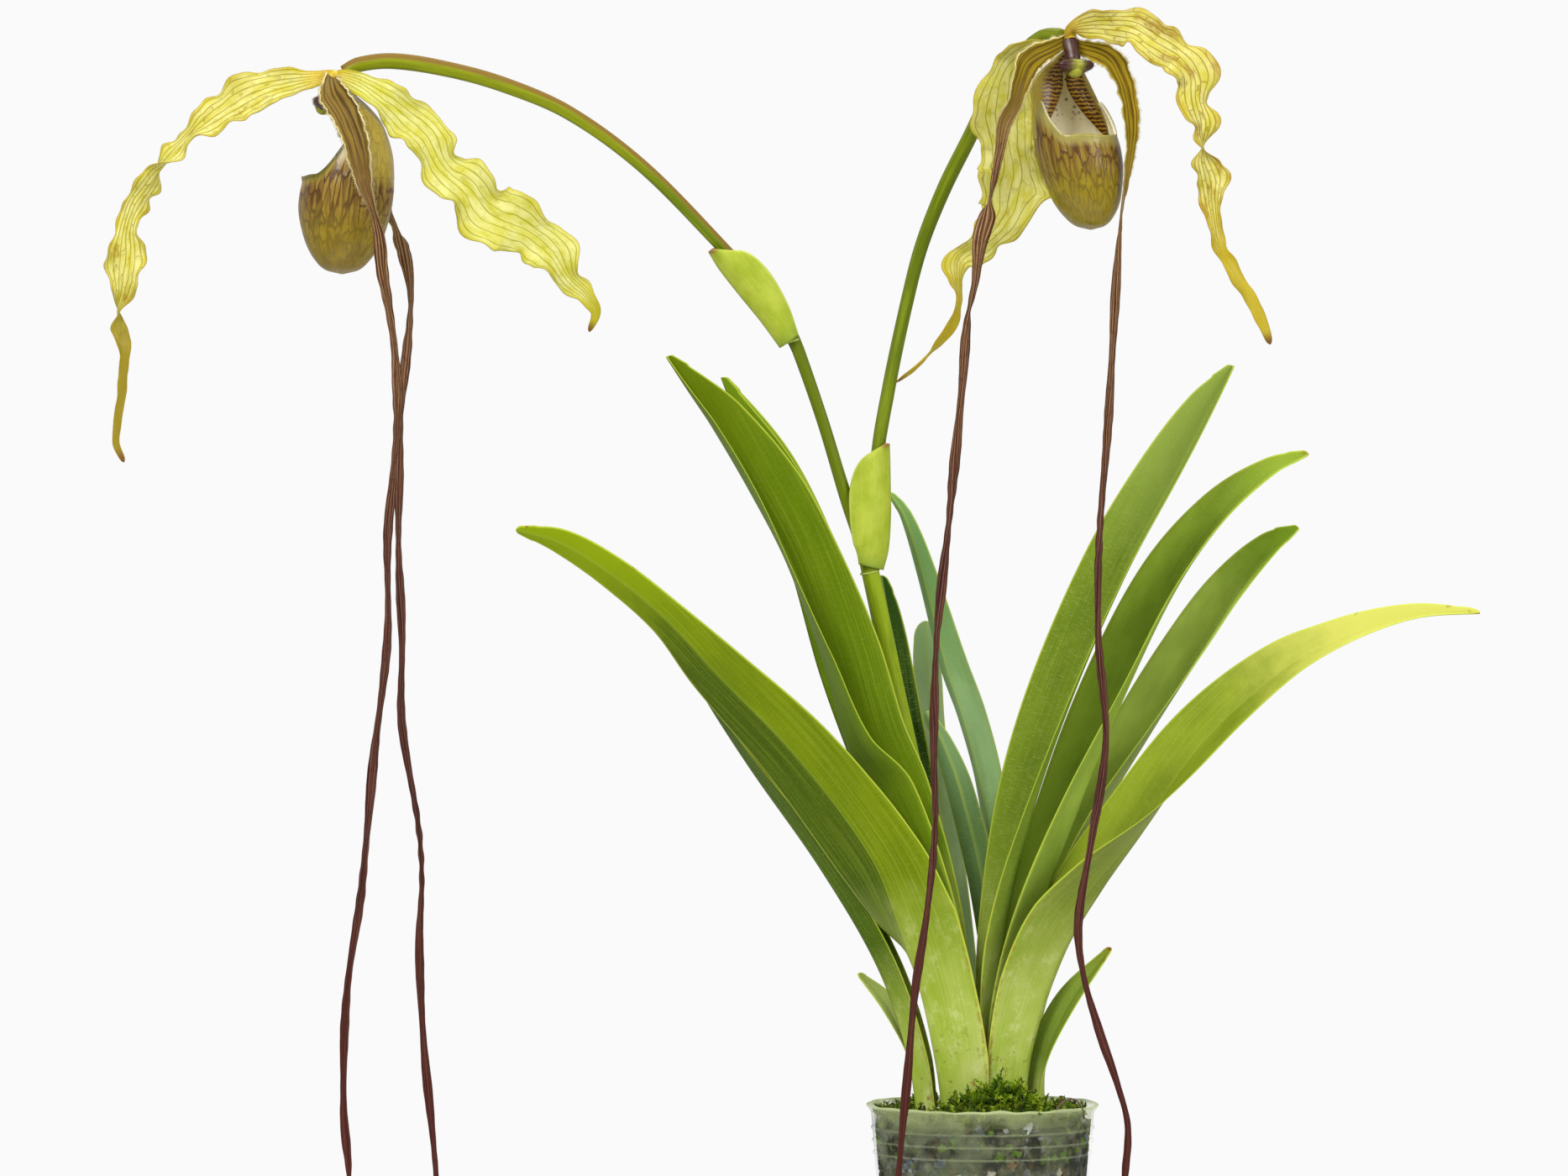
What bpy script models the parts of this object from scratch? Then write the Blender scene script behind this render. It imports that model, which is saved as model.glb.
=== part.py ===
"""A slipper orchid (Phragmipedium) with two long-petalled flowers, growing in a clear nursery pot.

Lengths are in millimetres and MM turns them into Blender's metres where each mesh is made.
The origin is the middle of the pot's underside. +Z is up and the plant is drawn to be seen along +Y.
Leaves, sepals and petals are blades lofted through stations along their midribs.
"""

import math

import bmesh
import bpy
from mathutils import Matrix, Vector, noise

MM = 0.001
TOWARDS_VIEWER = Vector((0, -1, 0))
UP = Vector((0, 0, 1))

# ---- pot ----
POT_HEIGHT = 82
POT_RIM_RADIUS = 45
POT_NECK_RADIUS = 43.2
POT_BASE_RADIUS = 37
POT_WALL = 1.0
POT_SIDES = 36
RIM_DEPTH = 3.2
RIB_DEPTHS = (8.6, 13.4, 18.2)  # below the rim
RIB_HEIGHT = 0.5
FOOT_RECESS = 1.5
FOOT_WIDTH = 4
CENTRE_FOOT_RADIUS = 9  # a raised middle that stands level with the foot ring
DRAIN_HOLES = 6
DRAIN_RADIUS = 3.5
DRAIN_CIRCLE = 22

# ---- potting mix, rhizome and moss ----
CLEAR = 0.35  # gap between pieces that rest against each other
MIX_TOP = 76.5
MIX_RECESS = 69.7
RHIZOME_TOP = 76
RHIZOME_BOTTOM = MIX_RECESS + CLEAR
RHIZOME_LOBES = ((0, -3, 27, 11), (1, 23, 21, 11), (0, 8, 30, 11))  # x, y, half length, half breadth
RECESS_HALF_LENGTH = 33
RECESS_FRONT = -18
RECESS_BACK = 36
ROOTS = ((-15, -4), (13, -5), (-6, 20), (12, 24))
ROOT_RADIUS = 1.9
ROOT_LENGTH = 26
MOSS_BOTTOM = MIX_TOP + 0.5

LEAF_THICKNESS = 1.0
SEPAL_THICKNESS = 0.8
PETAL_THICKNESS = 0.7
BRACT_THICKNESS = 0.7
LIP_THICKNESS = 0.9
LEAF_BASE = RHIZOME_TOP + CLEAR + 0.4  # a fold's corner reaches a little below its station

# Leaf stations are (x, y, z, half width, left, right). The first three place the keel. left and right
# are the angles at which the two halves stand out of the picture plane towards the viewer, in degrees:
# at 90 a half is seen edge on and past 90 it swings across the other half and shows its outer side.
LEAVES = {
    "leaf_left_low": (
        (-15, -4, LEAF_BASE, 15.5, 155, -25), (-18, -6, 98, 18, 158, -32), (-24, -10, 126, 18.5, 160, -66),
        (-32.5, -13, 152, 18.5, 161, -112), (-43, -15.5, 178, 18.5, 162, -138),
        (-71, -19, 216, 16.8, 162, -142), (-104, -22, 250.5, 12.9, 156, -140),
        (-122, -24, 270, 8.6, 156, -140), (-143, -25, 287.5, 7.4, 156, -140),
        (-162.5, -26, 299.5, 5.8, 156, -140), (-179.5, -27, 304.5, 1.4, 158, -140),
    ),
    "leaf_left_tall": (
        (-10.8, -4, LEAF_BASE, 9.6, 156, -24), (-14, -4, 110, 12, 152, -18), (-24, -4, 150, 18, 152, -4),
        (-43, -5, 200, 24, 140, 8), (-52.5, -6, 222, 24.5, 114, 10), (-62, -7, 255, 24, 100, 12),
        (-75.5, -9, 292, 21, 93, 12), (-89, -11, 318, 20, 97, 10), (-104.5, -13, 344.5, 14.5, 97, 8),
        (-113.5, -15, 358, 9, 94, 6), (-122, -16, 371, 1.8, 90, 6),
    ),
    "leaf_left_inner": (
        (-15, 9, LEAF_BASE, 4.5, 150, -25), (-18.5, 10.5, 110, 6, 152, -16), (-30.5, 10, 158, 8.5, 158, -6),
        (-47, 7, 205, 13, 162, 2), (-62.5, 4, 248, 18.5, 162, 6), (-72.5, 2, 284, 21, 162, 8),
        (-80.5, 1, 309, 19, 162, 8), (-90, 0, 334, 14, 162, 6), (-101, 0, 363.5, 1.8, 162, 6),
    ),
    "leaf_left_outer": (
        (-25, 4, LEAF_BASE, 8.5, 154, -22), (-28.5, 7, 100, 9.5, 145, -22), (-40, 12, 134, 10.5, 135, -24),
        (-62, 15, 172, 12, 125, -24), (-90, 16, 212, 11, 112, -26), (-108, 15, 240, 7, 104, -30),
        (-119, 14, 260, 1.8, 98, -34),
    ),
    "leaf_left_small": (
        (-24, 14, LEAF_BASE, 4.5, 135, -25), (-27.5, 15, 97, 6, 94, -26), (-37, 16, 119, 5.5, 70, -30),
        (-48, 16, 132, 1.4, 64, -36),
    ),
    "leaf_right_tall": (
        (4.2, -4, LEAF_BASE, 4, -24, 156), (4.6, -4, 108, 7.5, -22, 146), (7.5, -5, 146, 11, -20, 128),
        (19, -8, 196, 15.5, -16, 106), (35, -11, 243, 18, -12, 95), (55, -13, 289, 18, -10, 92),
        (75, -14, 326, 15.5, -8, 92), (88, -15, 352, 9.6, -6, 88), (96, -15, 367.5, 1.8, -6, 84),
    ),
    "leaf_right_second": (
        (8, -4, LEAF_BASE, 7.2, -24, 156), (9.5, -4, 108, 10.5, -22, 146), (18.5, -4, 147, 14, -20, 134),
        (36.5, -4, 196, 17, -18, 120), (56, -4, 244, 18, -14, 100), (75, -3, 283, 16.5, -12, 94),
        (94, -2, 310, 12, -12, 90), (112, -1, 327, 6, -10, 82), (126, -1, 334, 1.5, -10, 72),
    ),
    "leaf_right_third": (
        (17, 4, LEAF_BASE, 7, -25, 150), (20, 5, 106, 9, -24, 146), (29.5, 8, 150, 12, -22, 134),
        (44, 9.5, 189, 15, -20, 112), (66, 10, 227, 16, -18, 98), (85, 10, 257, 15.5, -16, 92),
        (99, 10, 279, 13, -14, 88), (113, 10, 297, 8, -12, 80), (123, 10, 305.5, 1.5, -12, 70),
    ),
    "leaf_right_low": (
        (15.6, -4, LEAF_BASE, 15, -25, 155), (18.8, -5, 104, 17, -24, 155), (31, -9, 141, 19, -26, 148),
        (45.5, -11, 166, 19.5, -22, 132), (62, -13, 189.5, 19, -15, 106), (79.8, -16, 217, 16, -14, 76),
        (96.5, -18, 235, 14.2, -14, 72), (116.5, -20, 251.5, 11.5, -14, 73), (131.5, -21, 260, 9, -14, 74),
        (149, -22, 267, 7.2, -12, 77), (168, -23, 271.5, 5, -8, 83), (190, -23, 272.5, 1.4, -4, 88),
    ),
    "leaf_right_narrow": (
        (19, 13.5, LEAF_BASE, 5, -25, 150), (20.5, 14.5, 100, 6.5, -22, 150), (26, 16, 125, 7.5, -20, 150),
        (33.5, 17.5, 149, 8, -18, 150), (43, 18, 176, 6, -16, 150), (53, 18, 198, 1.6, -14, 140),
    ),
    "leaf_right_small": (
        (24, -1, LEAF_BASE, 6, -20, 120), (24, -2, 98, 7.5, -22, 90), (33.5, -3, 121, 7.2, -24, 74),
        (49.5, -4, 143, 1.6, -30, 66),
    ),
    "leaf_back_dark": (
        (-11, 20, LEAF_BASE, 6, 120, 0), (-16, 23, 140, 8.5, 80, 0), (-26.5, 27, 205, 8.5, 52, -4),
        (-33.5, 29, 254, 6.6, 44, -6), (-36.8, 30, 274, 5, 42, -6), (-39, 30, 287, 1.8, 40, -6),
    ),
    "leaf_back_long": (
        (13, 20, LEAF_BASE, 5, -80, -28), (11, 25, 130, 8, -80, -28), (0.3, 32, 205, 9.8, -82, -26),
        (-6.3, 35, 231, 10, -80, -24), (-13, 37, 251, 9.4, -76, -22), (-22.4, 39, 287.5, 6, -70, -20),
        (-29.5, 40, 310, 3.4, -64, -20), (-35.6, 40, 319.5, 1.2, -60, -20),
    ),
    "leaf_back_round": (
        (-2, 29, LEAF_BASE, 5, -20, -20), (-7, 39, 135, 6, -16, -16), (-13, 50, 185, 6, -12, -12),
        (-18.3, 55, 224, 5.5, -10, -10), (-20.2, 57, 250, 5.6, -10, -10), (-20.8, 57.5, 263, 4.6, -10, -10),
        (-20.8, 57.5, 269, 2.4, -10, -10),
    ),
    "leaf_back_short": (
        (6, 15, LEAF_BASE, 5, -40, -40), (6.5, 16, 120, 6, -36, -36), (1, 17, 165, 6.5, -32, -32),
        (-8, 18, 203, 6, -30, -30), (-15, 19, 222, 4.2, -30, -30), (-21.5, 19, 234, 1.6, -30, -30),
    ),
}
LEAF_STEPS = 13
SMALL_LEAF_STEPS = 8
SMALL_LEAF_STATIONS = 6
LEAF_COLUMNS = 4

# Stems are (x, y, z, radius).
SCAPE = (
    (-2, 10, LEAF_BASE, 3.9), (-8, 12.5, 120, 3.8), (-20, 14.5, 180, 3.7), (-33, 12.5, 240, 3.6),
    (-42.5, 5.8, 284, 3.5), (-46, 5, 298, 3.1), (-52.5, 4.4, 316, 2.6), (-62, 3, 347, 2.3),
    (-71, 1, 373, 2.4), (-73.6, 0.5, 379, 2.6),
)
OVARY_RIGHT = (
    (-41, 4.2, 299, 2.5), (-41, 4, 330, 2.5), (-36.4, 4, 359, 2.5), (-29.8, 3.5, 390.5, 2.5),
    (-23.8, 1, 414, 2.6), (-15.4, -5, 435.5, 2.7), (-6.2, -14, 454, 2.8), (2.6, -28, 471, 2.9),
    (12, -44, 483, 3.0), (21, -60, 490, 3.1), (26.2, -67.2, 490.2, 2.9), (27.9, -69.4, 489.6, 2.7),
)
OVARY_LEFT = (
    (-73.9, 0.4, 379.6, 2.5), (-83, -1, 394, 2.4), (-102, -4, 415, 2.4), (-132, -9, 445, 2.6),
    (-160, -14, 465, 2.8), (-185, -18, 475.5, 3.0), (-207, -21, 481.3, 3.1), (-227, -24, 484, 3.1),
    (-240, -25.5, 482.5, 3.0), (-245.5, -26, 479.5, 2.8),
)
STEM_SIDES = 8

# Sheathing bracts are (x, y, z, depth, half thickness, turn, closing): the keel's place, the folded
# bract's depth, its bulge and how far round its two halves reach, in degrees.
BRACTS = {
    "bract_lower": (
        (-38.6, 5.2, 289, 9.6, 5.4, -90, 112), (-36.6, 4.8, 297, 13.5, 6.2, -90, 116),
        (-35.7, 4.3, 310, 15.8, 6.2, -90, 124), (-35.8, 4, 322, 15.4, 5.6, -90, 146),
        (-36, 3.9, 332, 11, 5, -90, 138), (-36.2, 3.8, 338, 1.6, 4, -90, 110),
    ),
    "bract_upper": (
        (-78.3, 0.3, 375, 8.6, 4.4, 89, 150), (-86, -1, 385.5, 12.5, 4.9, 89, 154),
        (-95, -2.6, 396.5, 14.5, 4.9, 89, 156), (-102, -4, 405.5, 11.5, 5.2, 89, 146),
        (-106, -4.6, 412, 2.2, 4.4, 89, 110),
    ),
}

# Flower stations are (x, y, z, half width, turn, curl). Turn 0 faces the viewer; curl is how far the
# edges stand out of the flat, in degrees.
SEPALS = {
    "dorsal_sepal_left": (
        (-253.3, -26.2, 477.5, 3, 20, 12), (-265, -28, 475.5, 5.3, 18, 20), (-276, -29, 473, 8, 16, 24),
        (-286, -30, 468, 8.5, 14, 24), (-295.5, -31, 461.5, 7, 24, 22), (-304, -32, 454.5, 5.2, 40, 20),
        (-311.5, -33, 446.5, 6, 58, 18), (-318, -34, 438.5, 6, 118, 16), (-324, -35, 429, 4.8, 172, 16),
        (-328, -35.5, 418, 4.8, 184, 14), (-328.5, -36, 405.5, 8, 186, 14), (-329.5, -36, 395, 4.2, 196, 12),
        (-331, -36, 387.3, 2.4, 250, 10), (-330, -36, 380, 3.4, 330, 14), (-328.6, -36, 370, 2, 350, 16),
        (-330, -35, 355, 1.7, 352, 16), (-332, -34, 338, 1.4, 352, 16), (-329, -34, 330, 1, 352, 16),
    ),
    "synsepal_left": (
        (-246.2, -29.9, 477.2, 3, -24, 16), (-239, -30.4, 475, 5, -22, 22),
        (-231, -30.4, 469.5, 6.8, -16, 22), (-221, -28.6, 462, 8.8, -10, 22),
        (-213.5, -28, 454.5, 8.4, -6, 20), (-207, -28, 443, 8.2, -2, 16),
        (-197.5, -27.5, 434.5, 10, 2, 14), (-190, -27, 426, 11.6, 4, 14), (-181, -26.5, 421.5, 12, 4, 14),
        (-172, -26, 417, 9.6, 4, 16), (-165, -25, 410.5, 8.8, 6, 18), (-159.5, -24, 401, 5.8, 12, 20),
        (-153, -23.5, 394.5, 3.4, 16, 20), (-149, -23, 388, 2.3, 20, 22), (-151.7, -22, 380.3, 1.1, 30, 20),
    ),
    "dorsal_sepal_right": (
        (31.1, -75.8, 491.6, 2.8, 30, 14), (37, -80, 493, 4.9, 20, 24), (45.5, -86, 492.5, 6.6, 8, 26),
        (54, -91, 491, 7.2, 0, 26), (62.5, -94, 485, 7.8, -8, 20), (70.5, -96, 480, 7.8, -14, 18),
        (76, -96, 472.5, 8.4, -10, 16), (76.3, -96, 463.5, 6, -10, 16), (78.5, -95.5, 456, 5.6, -20, 14),
        (79, -95, 449.5, 4.2, -62, 12), (80.3, -94.5, 441.5, 4.8, -130, 12), (82.3, -94, 434, 6.4, -156, 14),
        (82.6, -93.5, 426, 4.3, -170, 16), (83.8, -93, 417.5, 2.7, -176, 20), (86.2, -92, 409, 2.6, -178, 22),
        (91.5, -91.5, 399.5, 2.6, -180, 24), (97, -91, 390.5, 2.4, -180, 24),
        (102, -90.5, 381, 2.1, -180, 22), (104.8, -90, 373, 1.1, -180, 20),
    ),
    "synsepal_right": (
        (24, -67.5, 486, 2.6, -25, 14), (16.5, -59.5, 484.5, 6.6, -20, 24), (10, -52.5, 478.5, 9, 0, 24),
        (8.4, -47.5, 470, 11, 12, 22), (7.2, -43.5, 460, 13.2, 8, 20), (9, -41.5, 450, 11.8, 4, 18),
        (10.2, -40, 441.5, 11.6, 0, 16), (9, -40, 433, 13.6, -4, 14), (7.5, -40, 424, 9.8, -8, 14),
        (0, -40.5, 415, 7.4, -20, 16), (-10, -41, 407.5, 5.6, -34, 18), (-11, -41, 399.5, 4.2, -40, 20),
        (-10.7, -41, 392, 3, -50, 22), (-12.7, -41, 384, 2.6, -60, 20), (-17.5, -40.5, 375.8, 2.8, -66, 20),
        (-25, -39.5, 368, 2.2, -70, 18), (-34, -38, 360.5, 1, -70, 16),
    ),
}
SEPAL_WAVES = {  # amplitude, wave length, phase, shift between the two edges
    "dorsal_sepal_left": (2.2, 19, 0.6, 1.9),
    "synsepal_left": (3.4, 23, 0.4, 2.4),
    "dorsal_sepal_right": (2.6, 21, 2.0, 1.7),
    "synsepal_right": (3.2, 27, 1.2, 2.2),
}
SEPAL_STEPS = 38
SEPAL_COLUMNS = 4

PETALS = {
    "petal_left_near": (
        (-250.3, -30.1, 476.4, 3, 20, 20), (-249, -38, 471, 5.5, 10, 28), (-244, -44, 463, 6.4, 6, 32),
        (-240, -47, 453, 6.4, 4, 34), (-237.6, -47.5, 444, 6.2, 8, 38), (-235.5, -47.5, 434, 4.6, 24, 38),
        (-232.7, -47, 425, 3.6, 46, 34), (-230.8, -46, 415, 4.2, 20, 34), (-229.5, -44, 403, 3.2, 30, 30),
        (-227.3, -42, 389.5, 2.6, 16, 26), (-225, -40, 370, 2.5, 0, 24), (-224.5, -39, 345, 2.4, -30, 20),
        (-228, -37, 301, 2.1, 0, 20), (-228.2, -36, 262, 2, 30, 20), (-233.3, -36, 218, 2.2, 0, 20),
        (-238.3, -36, 166.5, 2.2, -20, 20), (-243.5, -37, 128, 2.1, 10, 20), (-245, -37, 84, 2, 0, 20),
        (-242.7, -37, 57, 1.9, 60, 20), (-244, -38, 14, 0.9, 90, 20),
    ),
    "petal_left_far": (
        (-249, -22, 476.4, 3, 160, 20), (-246, -10, 467, 6, 170, 30), (-240, -5.5, 452, 6, 176, 34),
        (-232.5, -4.5, 435, 5, 160, 38), (-227.5, -5, 423.5, 3.4, 130, 36), (-224, -6.5, 414, 3.8, 160, 32),
        (-221.5, -8, 401, 3, 190, 26), (-221, -9, 391, 2.4, 210, 24), (-223, -10, 368, 2.4, 180, 22),
        (-224.5, -11, 348, 2.2, 150, 20), (-225.5, -12, 300, 2.1, 190, 20), (-224, -12, 262, 2, 180, 20),
        (-224, -12, 230, 2, 160, 20), (-218, -12.5, 191, 2.2, 220, 20), (-216.5, -13, 170, 2.2, 250, 20),
        (-217.3, -13, 145, 2, 180, 20), (-215.5, -13, 105, 2, 160, 20), (-211, -14, 57, 2, 230, 20),
        (-209.5, -14, 17, 0.9, 270, 20),
    ),
    "petal_right_near": (
        (27.1, -74.1, 486.7, 3, -20, 20), (15.5, -79, 480, 5, -8, 32), (11.5, -82.5, 472, 4.6, -30, 36),
        (9, -84, 463.5, 3.8, -34, 38), (5.5, -84, 456, 3.8, -26, 34), (4.3, -84, 448, 3.4, -24, 30),
        (2.7, -83, 439.5, 2.6, -40, 26), (0.6, -82, 430, 2.4, -84, 24), (-0.9, -81.5, 421.5, 3.8, -150, 24),
        (-3.2, -81, 412.5, 3.8, -166, 24), (-5.2, -80, 396, 2.7, -190, 22), (-7.4, -79, 386, 2.2, -230, 20),
        (-8.5, -78, 376.5, 2.2, -210, 20), (-10.3, -77, 355, 2.3, -184, 20), (-14.8, -74, 307, 2.4, -200, 20),
        (-19.5, -71, 263, 2.1, -160, 20), (-20.4, -69, 219, 2, -180, 20), (-20.1, -68, 193, 2.1, -140, 20),
        (-22.7, -66, 161.5, 1.9, -190, 20), (-27.4, -64, 129.5, 2, -170, 20), (-30.5, -62, 95, 2, -200, 20),
        (-33.5, -60, 60, 1.8, -180, 20), (-35.5, -58, 13, 0.9, -120, 20),
    ),
    "petal_right_far": (
        (34.3, -71, 485.8, 3, 20, 20), (45.3, -70, 481.5, 4.8, -16, 30), (50.3, -71, 472.5, 4.8, -34, 34),
        (52.3, -72, 464, 4.8, -42, 34), (53, -73, 456.5, 4.6, -44, 34), (53, -73.5, 448.3, 3.6, -54, 32),
        (52, -74, 440, 2.8, -62, 30), (50.2, -74, 425, 1.9, -100, 26), (49, -74, 412.5, 1.9, -140, 24),
        (48.1, -74, 398, 2.1, -160, 22), (46.7, -73, 371.5, 2.1, -190, 20), (44.6, -72, 339, 2.1, -170, 20),
        (42, -71, 301, 2, -200, 20), (41.4, -70, 263, 2, -170, 20), (44.3, -69, 225, 2.1, -140, 20),
        (39, -68, 187, 2, -190, 20), (34, -66, 155.5, 2, -170, 20), (36, -65, 136, 2, -130, 20),
        (42.3, -64.5, 114, 1.9, -160, 20), (48.8, -64, 95, 1.9, -190, 20), (52.8, -63, 79, 1.9, -170, 20),
        (51.7, -62, 59, 1.8, -130, 20), (49.5, -61, 15, 0.9, -100, 20),
    ),
}
PETAL_WAVE = (0.7, 9, 0.0, 2.1)
PETAL_STEPS = 46
PETAL_COLUMNS = 2

# Each flower's knob sits at the end of its ovary. heading turns its mouth about Z, from -Y, and lean
# carries the lip sideways as it hangs, both in degrees.
FLOWERS = {
    "left": {"place": (-249.2, -26, 477.6), "heading": -85, "lean": 0, "size": 1},
    "right": {"place": (30.5, -72, 488), "heading": 25, "lean": 8.5, "size": 0.94},
}
KNOB_RADIUS = 3.5
# Rows of the slipper-shaped lip: depth below the ovary's end, back, front and half breadth.
LIP_RIM = 38
LIP_ABOVE_RIM = (
    (4.1, -2.4, 2), (6.5, -7, 3.6), (11, -12.5, 7), (17, -17.5, 10.5), (24, -20.5, 13.4), (31, -22.2, 15.6),
)
LIP_BELOW_RIM = (
    (LIP_RIM, -22.6, 11, 16.4), (44, -22.6, 12.6, 16.8), (51, -21.6, 13.2, 16.2), (58, -19.6, 12.2, 14.6),
    (64.5, -16.6, 9.6, 11.8), (70, -12.4, 6.2, 8.2), (73.6, -8, 2.2, 4.4),
)
LIP_BOTTOM = (75, -3)
LIP_AROUND = 20
LIP_OPEN_COLUMNS = 5  # each side of the front, left open above the rim
LOBE_SLIT = 1.6  # between the two side lobes that fold in over the mouth
LOBE_TOP = 17  # depth at which the lobes reach the middle

COLUMN_LENGTH = 11  # from the knob's middle
COLUMN_RADIUS = 2.1
SHIELD_HALF_BREADTH = 7.2
SHIELD_HALF_HEIGHT = 3.4
SHIELD_HALF_THICKNESS = 1.5

COLOURS = {  # red, green, blue, roughness, alpha
    "clear_plastic": (0.80, 0.84, 0.80, 0.35, 0.35),
    "potting_mix": (0.10, 0.10, 0.10, 0.9, 1),
    "moss": (0.10, 0.20, 0.02, 0.9, 1),
    "rhizome": (0.20, 0.15, 0.06, 0.8, 1),
    "leaf": (0.18, 0.33, 0.02, 0.45, 1),
    "stem": (0.26, 0.38, 0.02, 0.45, 1),
    "bract": (0.42, 0.52, 0.06, 0.45, 1),
    "sepal": (0.66, 0.60, 0.10, 0.5, 1),
    "petal": (0.17, 0.07, 0.05, 0.6, 1),
    "lip": (0.36, 0.28, 0.04, 0.4, 1),
    "column": (0.20, 0.05, 0.03, 0.5, 1),
}


def clear_scene():
    for obj in list(bpy.data.objects):
        bpy.data.objects.remove(obj)


def material(name):
    """A Principled BSDF in the piece's own colour, made once."""
    found = bpy.data.materials.get(name)
    if found:
        return found
    red, green, blue, roughness, alpha = COLOURS[name]
    made = bpy.data.materials.new(name)
    made.use_nodes = True
    shader = made.node_tree.nodes["Principled BSDF"]
    shader.inputs["Base Color"].default_value = (red, green, blue, 1)
    shader.inputs["Roughness"].default_value = roughness
    shader.inputs["Metallic"].default_value = 0
    shader.inputs["Alpha"].default_value = alpha
    return made


def add_object(name, points, faces, finish):
    """A named object from points in millimetres, with its faces made to point outwards."""
    mesh = bpy.data.meshes.new(name)
    mesh.from_pydata([Vector(p) * MM for p in points], [], faces)
    made = bmesh.new()
    made.from_mesh(mesh)
    bmesh.ops.recalc_face_normals(made, faces=made.faces)
    made.to_mesh(mesh)
    made.free()
    mesh.shade_smooth()
    mesh.set_sharp_from_angle(angle=math.radians(50))
    obj = bpy.data.objects.new(name, mesh)
    obj.data.materials.append(material(finish))
    bpy.context.scene.collection.objects.link(obj)
    return obj


def thicken(obj, thickness):
    """Gives a surface its thickness, half to each side, with a closed rim."""
    solidify = obj.modifiers.new("thickness", "SOLIDIFY")
    solidify.thickness = thickness * MM
    solidify.offset = 0
    solidify.use_rim = True
    return obj


def apply_boolean(obj, others, operation, solver="EXACT"):
    """Joins or cuts obj with other objects, which are then removed."""
    helpers = bpy.data.collections.new("helpers")
    bpy.context.scene.collection.children.link(helpers)
    for other in others:
        for holder in list(other.users_collection):
            holder.objects.unlink(other)
        helpers.objects.link(other)
    boolean = obj.modifiers.new("boolean", "BOOLEAN")
    boolean.operand_type = "COLLECTION"
    boolean.collection = helpers
    boolean.operation = operation
    boolean.solver = solver
    bpy.context.view_layer.objects.active = obj
    bpy.ops.object.modifier_apply(modifier=boolean.name)
    for other in others:
        bpy.data.objects.remove(other)
    bpy.data.collections.remove(helpers)
    return obj


class Course:
    """A smooth course through stations, measured by the distance along their places."""

    def __init__(self, stations):
        self.rows = [tuple(float(value) for value in row) for row in stations]
        self.at = [0.0]
        for before, after in zip(self.rows, self.rows[1:]):
            self.at.append(self.at[-1] + (Vector(after[:3]) - Vector(before[:3])).length)
        self.length = self.at[-1]
        self.slopes = [self._slope(i) for i in range(len(self.rows))]

    def _slope(self, i):
        low, high = max(0, i - 1), min(len(self.rows) - 1, i + 1)
        span = self.at[high] - self.at[low]
        return [(b - a) / span for a, b in zip(self.rows[low], self.rows[high])]

    def row(self, distance):
        """Every value of the station at this distance."""
        i = max(k for k in range(len(self.at) - 1) if self.at[k] <= distance or k == 0)
        span = self.at[i + 1] - self.at[i]
        t = (distance - self.at[i]) / span
        a, b = (1 + 2 * t) * (1 - t) ** 2, t * (1 - t) ** 2 * span
        c, d = t * t * (3 - 2 * t), t * t * (t - 1) * span
        ends = zip(self.rows[i], self.slopes[i], self.rows[i + 1], self.slopes[i + 1])
        return [a * p + b * m + c * q + d * n for p, m, q, n in ends]

    def tangent(self, distance):
        step = self.length * 0.002
        before = self.row(max(0, distance - step))
        after = self.row(min(self.length, distance + step))
        return (Vector(after[:3]) - Vector(before[:3])).normalized()

    def axes(self, distance, turn):
        """The tangent, the direction that the face looks in and the direction across the blade."""
        along = self.tangent(distance)
        face = (TOWARDS_VIEWER - along * along.dot(TOWARDS_VIEWER)).normalized()
        face = Matrix.Rotation(math.radians(turn), 3, along) @ face
        return along, face, along.cross(face)


def grid_triangles(rows, columns):
    """Triangles over a grid of (rows + 1) x (columns + 1) points, alike all over."""
    wide = columns + 1
    faces = []
    for i in range(rows):
        for j in range(columns):
            a, b = i * wide + j, i * wide + j + 1
            c, d = b + wide, a + wide
            faces += [(a, b, c), (a, c, d)]
    return faces


def folded(half_width, v, fold):
    """(across, out) of a keeled leaf's section: two straight halves that rise from the midrib."""
    tilt = math.radians(fold)
    return half_width * v * math.cos(tilt), half_width * abs(v) * math.sin(tilt)


def curled(half_width, v, curl):
    """(across, out) of a petal's section: an arc whose edges stand curl degrees out of the flat."""
    bend = math.radians(max(curl, 1))
    radius = half_width / bend
    return radius * math.sin(bend * v), radius * (1 - math.cos(bend * v))


def blade(name, stations, steps, columns, section, thickness, finish, wave=(0, 1, 0, 0)):
    """A thin blade lofted through its stations, with waved edges."""
    course = Course(stations)
    height, length, phase, shift = wave
    points = []
    for i in range(steps + 1):
        distance = course.length * i / steps
        x, y, z, half_width, turn, fold = course.row(distance)
        _, face, across = course.axes(distance, turn)
        swell = min(1, half_width / 5) * math.sin(math.pi * i / steps) ** 0.5 if height else 0
        for j in range(columns + 1):
            v = 2 * j / columns - 1
            angle = math.tau * distance / length + phase + (shift if v > 0 else 0)
            side, out = section(half_width * (1 + 0.03 * height * swell * math.cos(angle)), v, fold)
            out += height * swell * abs(v) ** 1.6 * math.sin(angle)
            points.append(Vector((x, y, z)) + across * side + face * out)
    return thicken(add_object(name, points, grid_triangles(steps, columns), finish), thickness)


def leaf(name, stations):
    """A keeled leaf. The angles of its two halves become the turn and the fold of a blade."""
    turned_stations = []
    for x, y, z, half_width, left, right in stations:
        turned_stations.append((x, y, z, half_width, (left - right) / 2, (left + right) / 2))
    steps = LEAF_STEPS if len(stations) > SMALL_LEAF_STATIONS else SMALL_LEAF_STEPS
    return blade(name, turned_stations, steps, LEAF_COLUMNS, folded, LEAF_THICKNESS, "leaf")


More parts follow.
